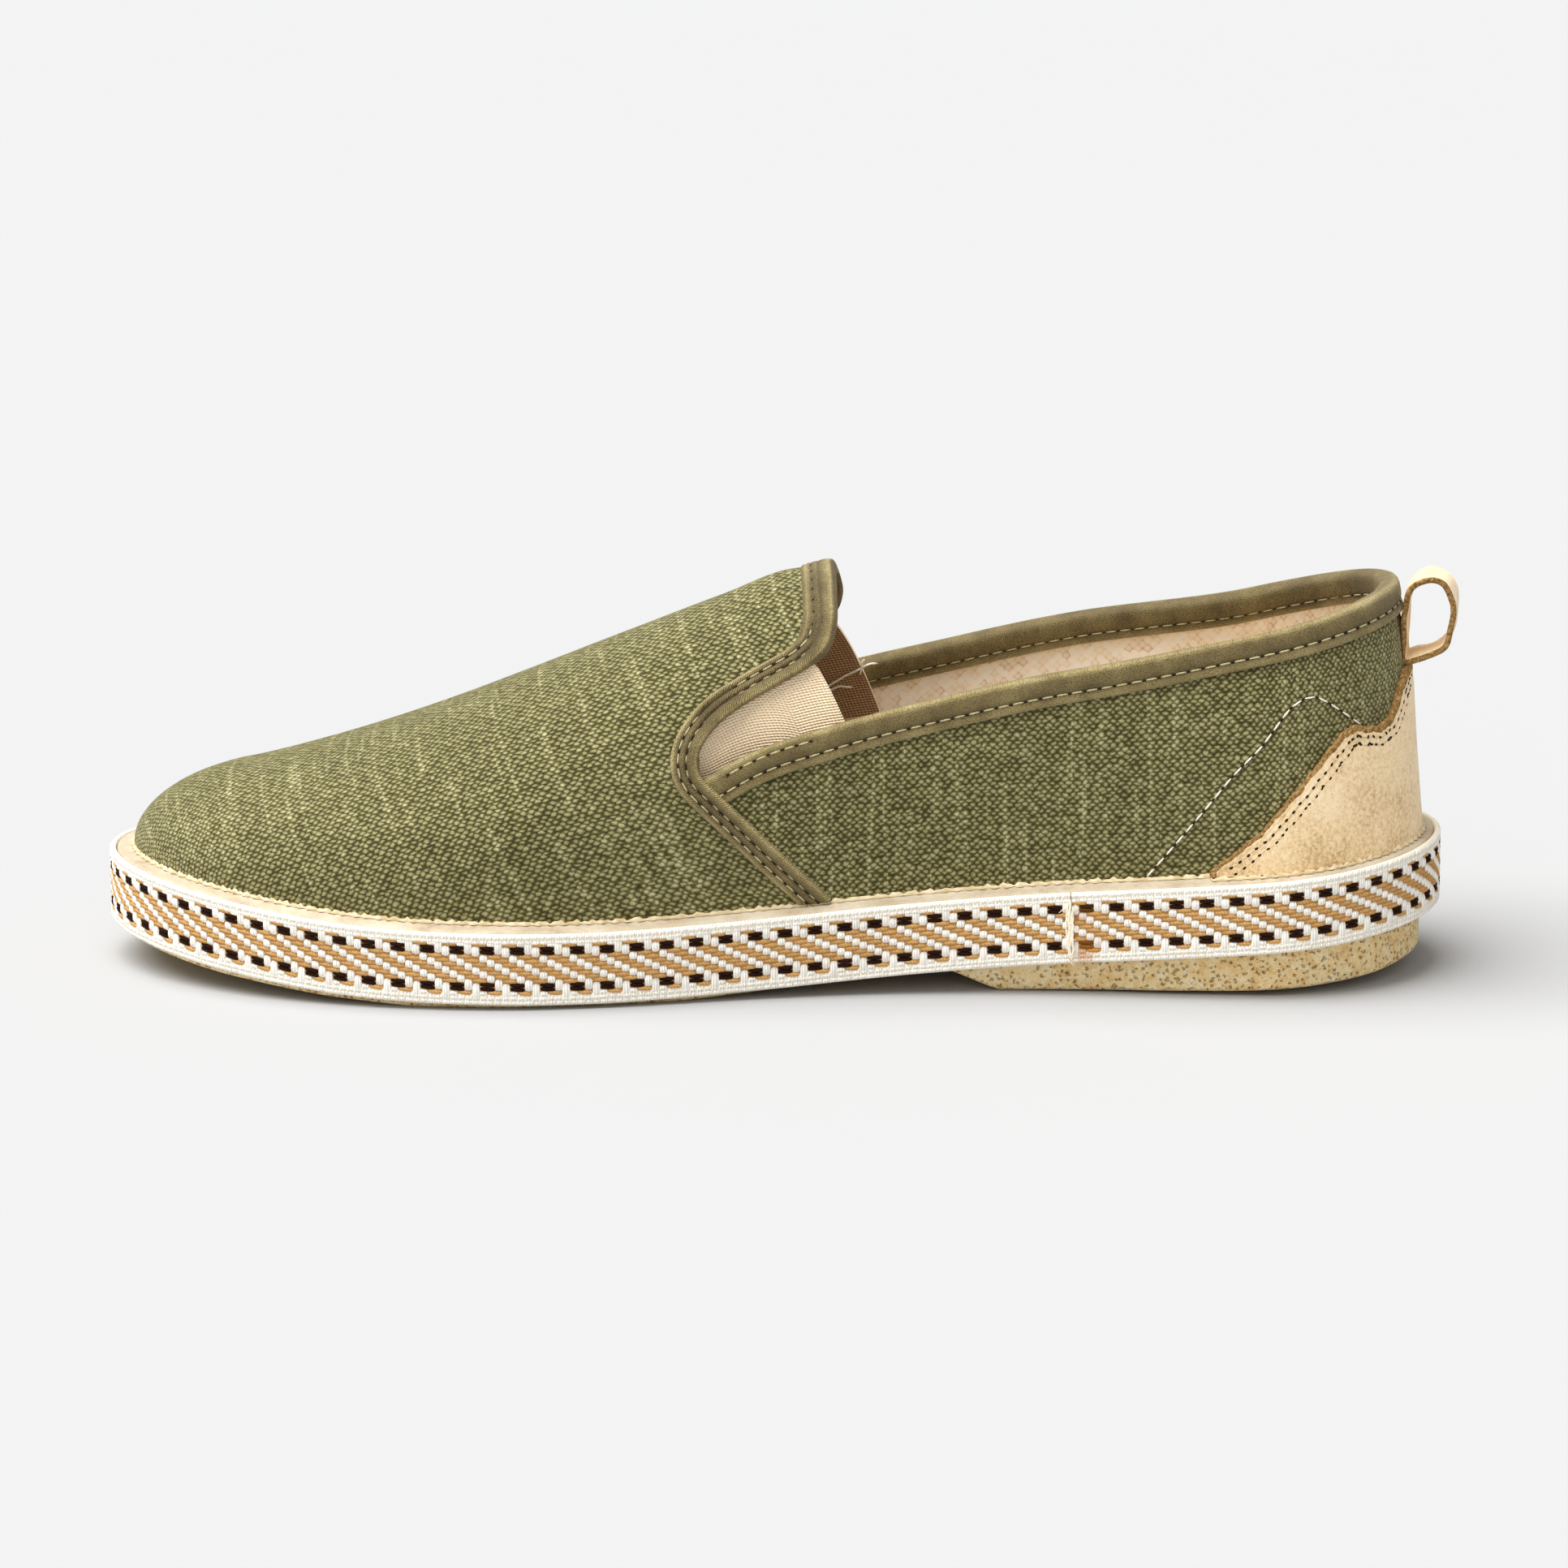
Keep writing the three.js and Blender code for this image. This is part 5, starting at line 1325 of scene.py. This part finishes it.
# Quarter seam: a row of off-white stitches that holds the inner heel stiffener. It climbs from the
# ledge, turns over in a small bow and runs down behind the counter, on both sides.
quarter_seam = {
    "row": range(10),
    "station": [0.2618, 0.2461, 0.2304, 0.2099, 0.1788, 0.166, 0.1581, 0.149, 0.1381, 0.1038],
    "up": [0.0, 0.071, 0.141, 0.226, 0.316, 0.336, 0.341, 0.337, 0.32, 0.253],
}
loop_side_station = 0.029
white_thread = plain_fibre("off_white_thread", "#e2d6c0", "#fbf5ea", 0.6, 2500.0)
# Scraps of red-brown marking thread, caught in the seam and beside the pull loop
chalk_fibre = plain_fibre("red_brown_marking_thread", "#4d2a1c", "#7a3d2b", 0.9, 1800.0)
row = np.linspace(0, 9, 181)
seam_station = cubic(quarter_seam, "station", row, "row")
seam_angle = np.maximum(angle_of(np.clip(cubic(quarter_seam, "up", row, "row"), 0, 1), 0.1), 0.002)
parts, scraps = ([], []), []
rng = np.random.default_rng(11)
for station, side in ((seam_station, 1), (2 - seam_station, -1)):
    line = along_line(station, seam_angle, 200)
    sew(parts, seam(line, 1, 0.0, 0.16, 0.74), 0.2, 0.42, 0.24)
    spots, way, normals = seam(line, -side, 0.28, 0.12, 0.5, pitch=1.3)[1]
    kept = rng.uniform(0, 1, len(spots)) < 0.45
    scraps.append(pods(spots[kept], way[kept], normals[kept], 0.5, 0.13, 0.1))
for side in (1, -1):
    line = (np.full(40, side * loop_side_station), np.linspace(0.34, 0.43, 40))
    scraps.append(pods(*seam(line, 1, 0.0, 0.15, 0.5, pitch=1.1)[1], 0.6, 0.2, 0.12))
sewn("quarter_seam", parts, white_thread, "canvas")
make_piece("quarter_seam_marking_thread", *joined(scraps), [chalk_fibre], "canvas")


# Pull loop: a strip of the same tan leather with its ends caught under the counter's tongue. It
# stands off the heel, a little twisted, and shows its brown cut edges.
loop_width = 12.0
loop_thickness = 1.3
loop_depth = 10.2
loop_height = 17.6
loop_skew = 0.11
loop_steps = 160
loop_table = {
    "back": [0.0, 0.0, 0.01, 0.08, 0.28, 0.56, 0.84, 1.0, 0.97, 0.86, 0.6, 0.25],
    "high": [0.0, 0.3, 0.58, 0.82, 0.96, 1.0, 0.92, 0.7, 0.4, 0.19, 0.08, 0.02],
}

loop_foot = surface(np.array(0.0), angle_of(np.array(counter_table["up"][0]), 0.0), 0.0)
loop_low = loop_foot + np.array([
    1.8 - clearance - binding_thickness - loop_thickness / 2, 0, clearance + loop_thickness / 2])
corners = np.stack([-np.array(loop_table["back"]) * loop_depth, np.array(loop_table["high"]) * loop_height],
    axis=1)
chord = np.sqrt(np.linalg.norm(np.roll(corners, -1, axis=0) - corners, axis=1))
key = np.concatenate([[0], np.cumsum(chord)])
wrapped = {"key": np.concatenate([key[-4:-1] - key[-1], key, key[1:4] + key[-1]])}
for k, name in enumerate(loop_table):
    wrapped[name] = np.concatenate([corners[-3:, k], corners[:, k], corners[:4, k]])
at = np.linspace(0, key[-1], loop_steps, endpoint=False)
middle = np.stack([cubic(wrapped, "back", at, "key"), cubic(wrapped, "high", at, "key")], axis=1)
way = unit(np.roll(middle, -1, axis=0) - np.roll(middle, 1, axis=0))
out = np.stack([way[:, 1], -way[:, 0]], axis=1)
if (out * (middle - middle.mean(axis=0))).sum() < 0:
    out = -out
# Half of the strip's section, from one edge's corner to the middle of the other edge; the rest is its image.
half_w, half_t, corner = loop_width / 2, loop_thickness / 2, 0.28
section = [(-half_w, corner - half_t), (corner - half_w, -half_t)]
section += [(w, -half_t) for w in np.linspace(0.6 - half_w, half_w - 0.6, 13)]
section = np.array(section + [(half_w - corner, -half_t), (half_w, corner - half_t), (half_w, 0.0)])
wide, thick = np.concatenate([section, -section]).T
uneven = 0.1 * np.sin(at[:, None] * 1.7 + wide * 0.3)
flat = middle[:, None] + out[:, None] * (thick + 0.12 * (wide / half_w) ** 2 + uneven)[..., None]
spread = wide + 0.18 * np.sin(at[:, None] * 0.9) * np.sign(wide)
points = np.stack([loop_low[0] + flat[..., 0] + loop_skew * spread, spread, loop_low[2] + flat[..., 1]],
    axis=-1)
index = np.arange(loop_steps * len(wide)).reshape(loop_steps, len(wide))
following = np.roll(index, -1, axis=0)
beside, beside_following = np.roll(index, -1, axis=1), np.roll(following, -1, axis=1)
faces = np.stack([index, following, beside_following, beside], -1).reshape(-1, 4)
points = points.reshape(-1, 3)
on_edge = (np.abs(wide) > half_w - 0.35) & (np.abs(np.roll(wide, -1)) > half_w - 0.35)
make_piece("leather_pull_loop", points, turned_out(points, faces), [suede, cut_edge], "loop_leather",
           ["pull_loop"], indices=np.tile(on_edge, loop_steps), crease=50)


# Cement line: a thin bead of pale cement squeezed out where the upper meets the ledge, uneven as the
# brush left it.
bead_count = 960
bead_table = {
    "across": [1.0, 0.95, 0.6, 0.15, -0.3, -0.6, -0.6],
    "up": [-0.2, 0.25, 0.65, 0.95, 1.0, 0.5, -0.2],
}

# Dried cement: pale, a little glossy, with darker patches.
cement, tree, place = new_material("dried_pale_cement")
spots = add_node(tree, "TexNoise", {"Vector": place, "Scale": 500.0, "Detail": 3.0})
finish_material(tree, ramp(tree, spots, [(0.35, "#c8b184"), (0.65, "#e3d3b0")]), 0.7, 0.3, None, {"IOR": 1.5})

bead_station = np.arange(bead_count) / (bead_count / 2)
arc = np.interp(bead_station, dense, dense_arc)
ripple = 0.22 * np.sin(arc * 3.7) + 0.2 * np.sin(arc * 1.9 + 2.0) + 0.18 * np.sin(arc * 6.1 + 4.0)
bead_high = np.clip(0.55 + ripple * 0.9, 0.15, 1.1)
bead_wide = np.clip(0.5 + 0.25 * np.sin(arc * 2.3 + 1.0) + 0.15 * np.sin(arc * 5.3), 0.2, 1.0)
under_counter = np.minimum(bead_station, 2 - bead_station) < heel_share * counter_turn / 90
bead_inset = feather_inset - 0.12 - (clearance + counter_thickness) * under_counter
bead_rings = []
for across_share, up_share in zip(*bead_table.values()):
    x, y = outline(bead_station, bead_inset - bead_wide * across_share)
    bead_rings.append(np.stack([x, y, rim_at(x) - 0.4 * under_counter + bead_high * up_share], axis=1))
points = np.concatenate(bead_rings)
faces = np.concatenate([ring_faces(len(bead_rings), bead_count), ring_faces(2, bead_count)[:, ::-1]])
last_ring = (len(bead_rings) - 1) * bead_count
closing = faces[-bead_count:]
closing[closing >= bead_count] += last_ring - bead_count
make_piece("cement_line", points, turned_out(points, faces), [cement], "midsole_rubber", crease=70)
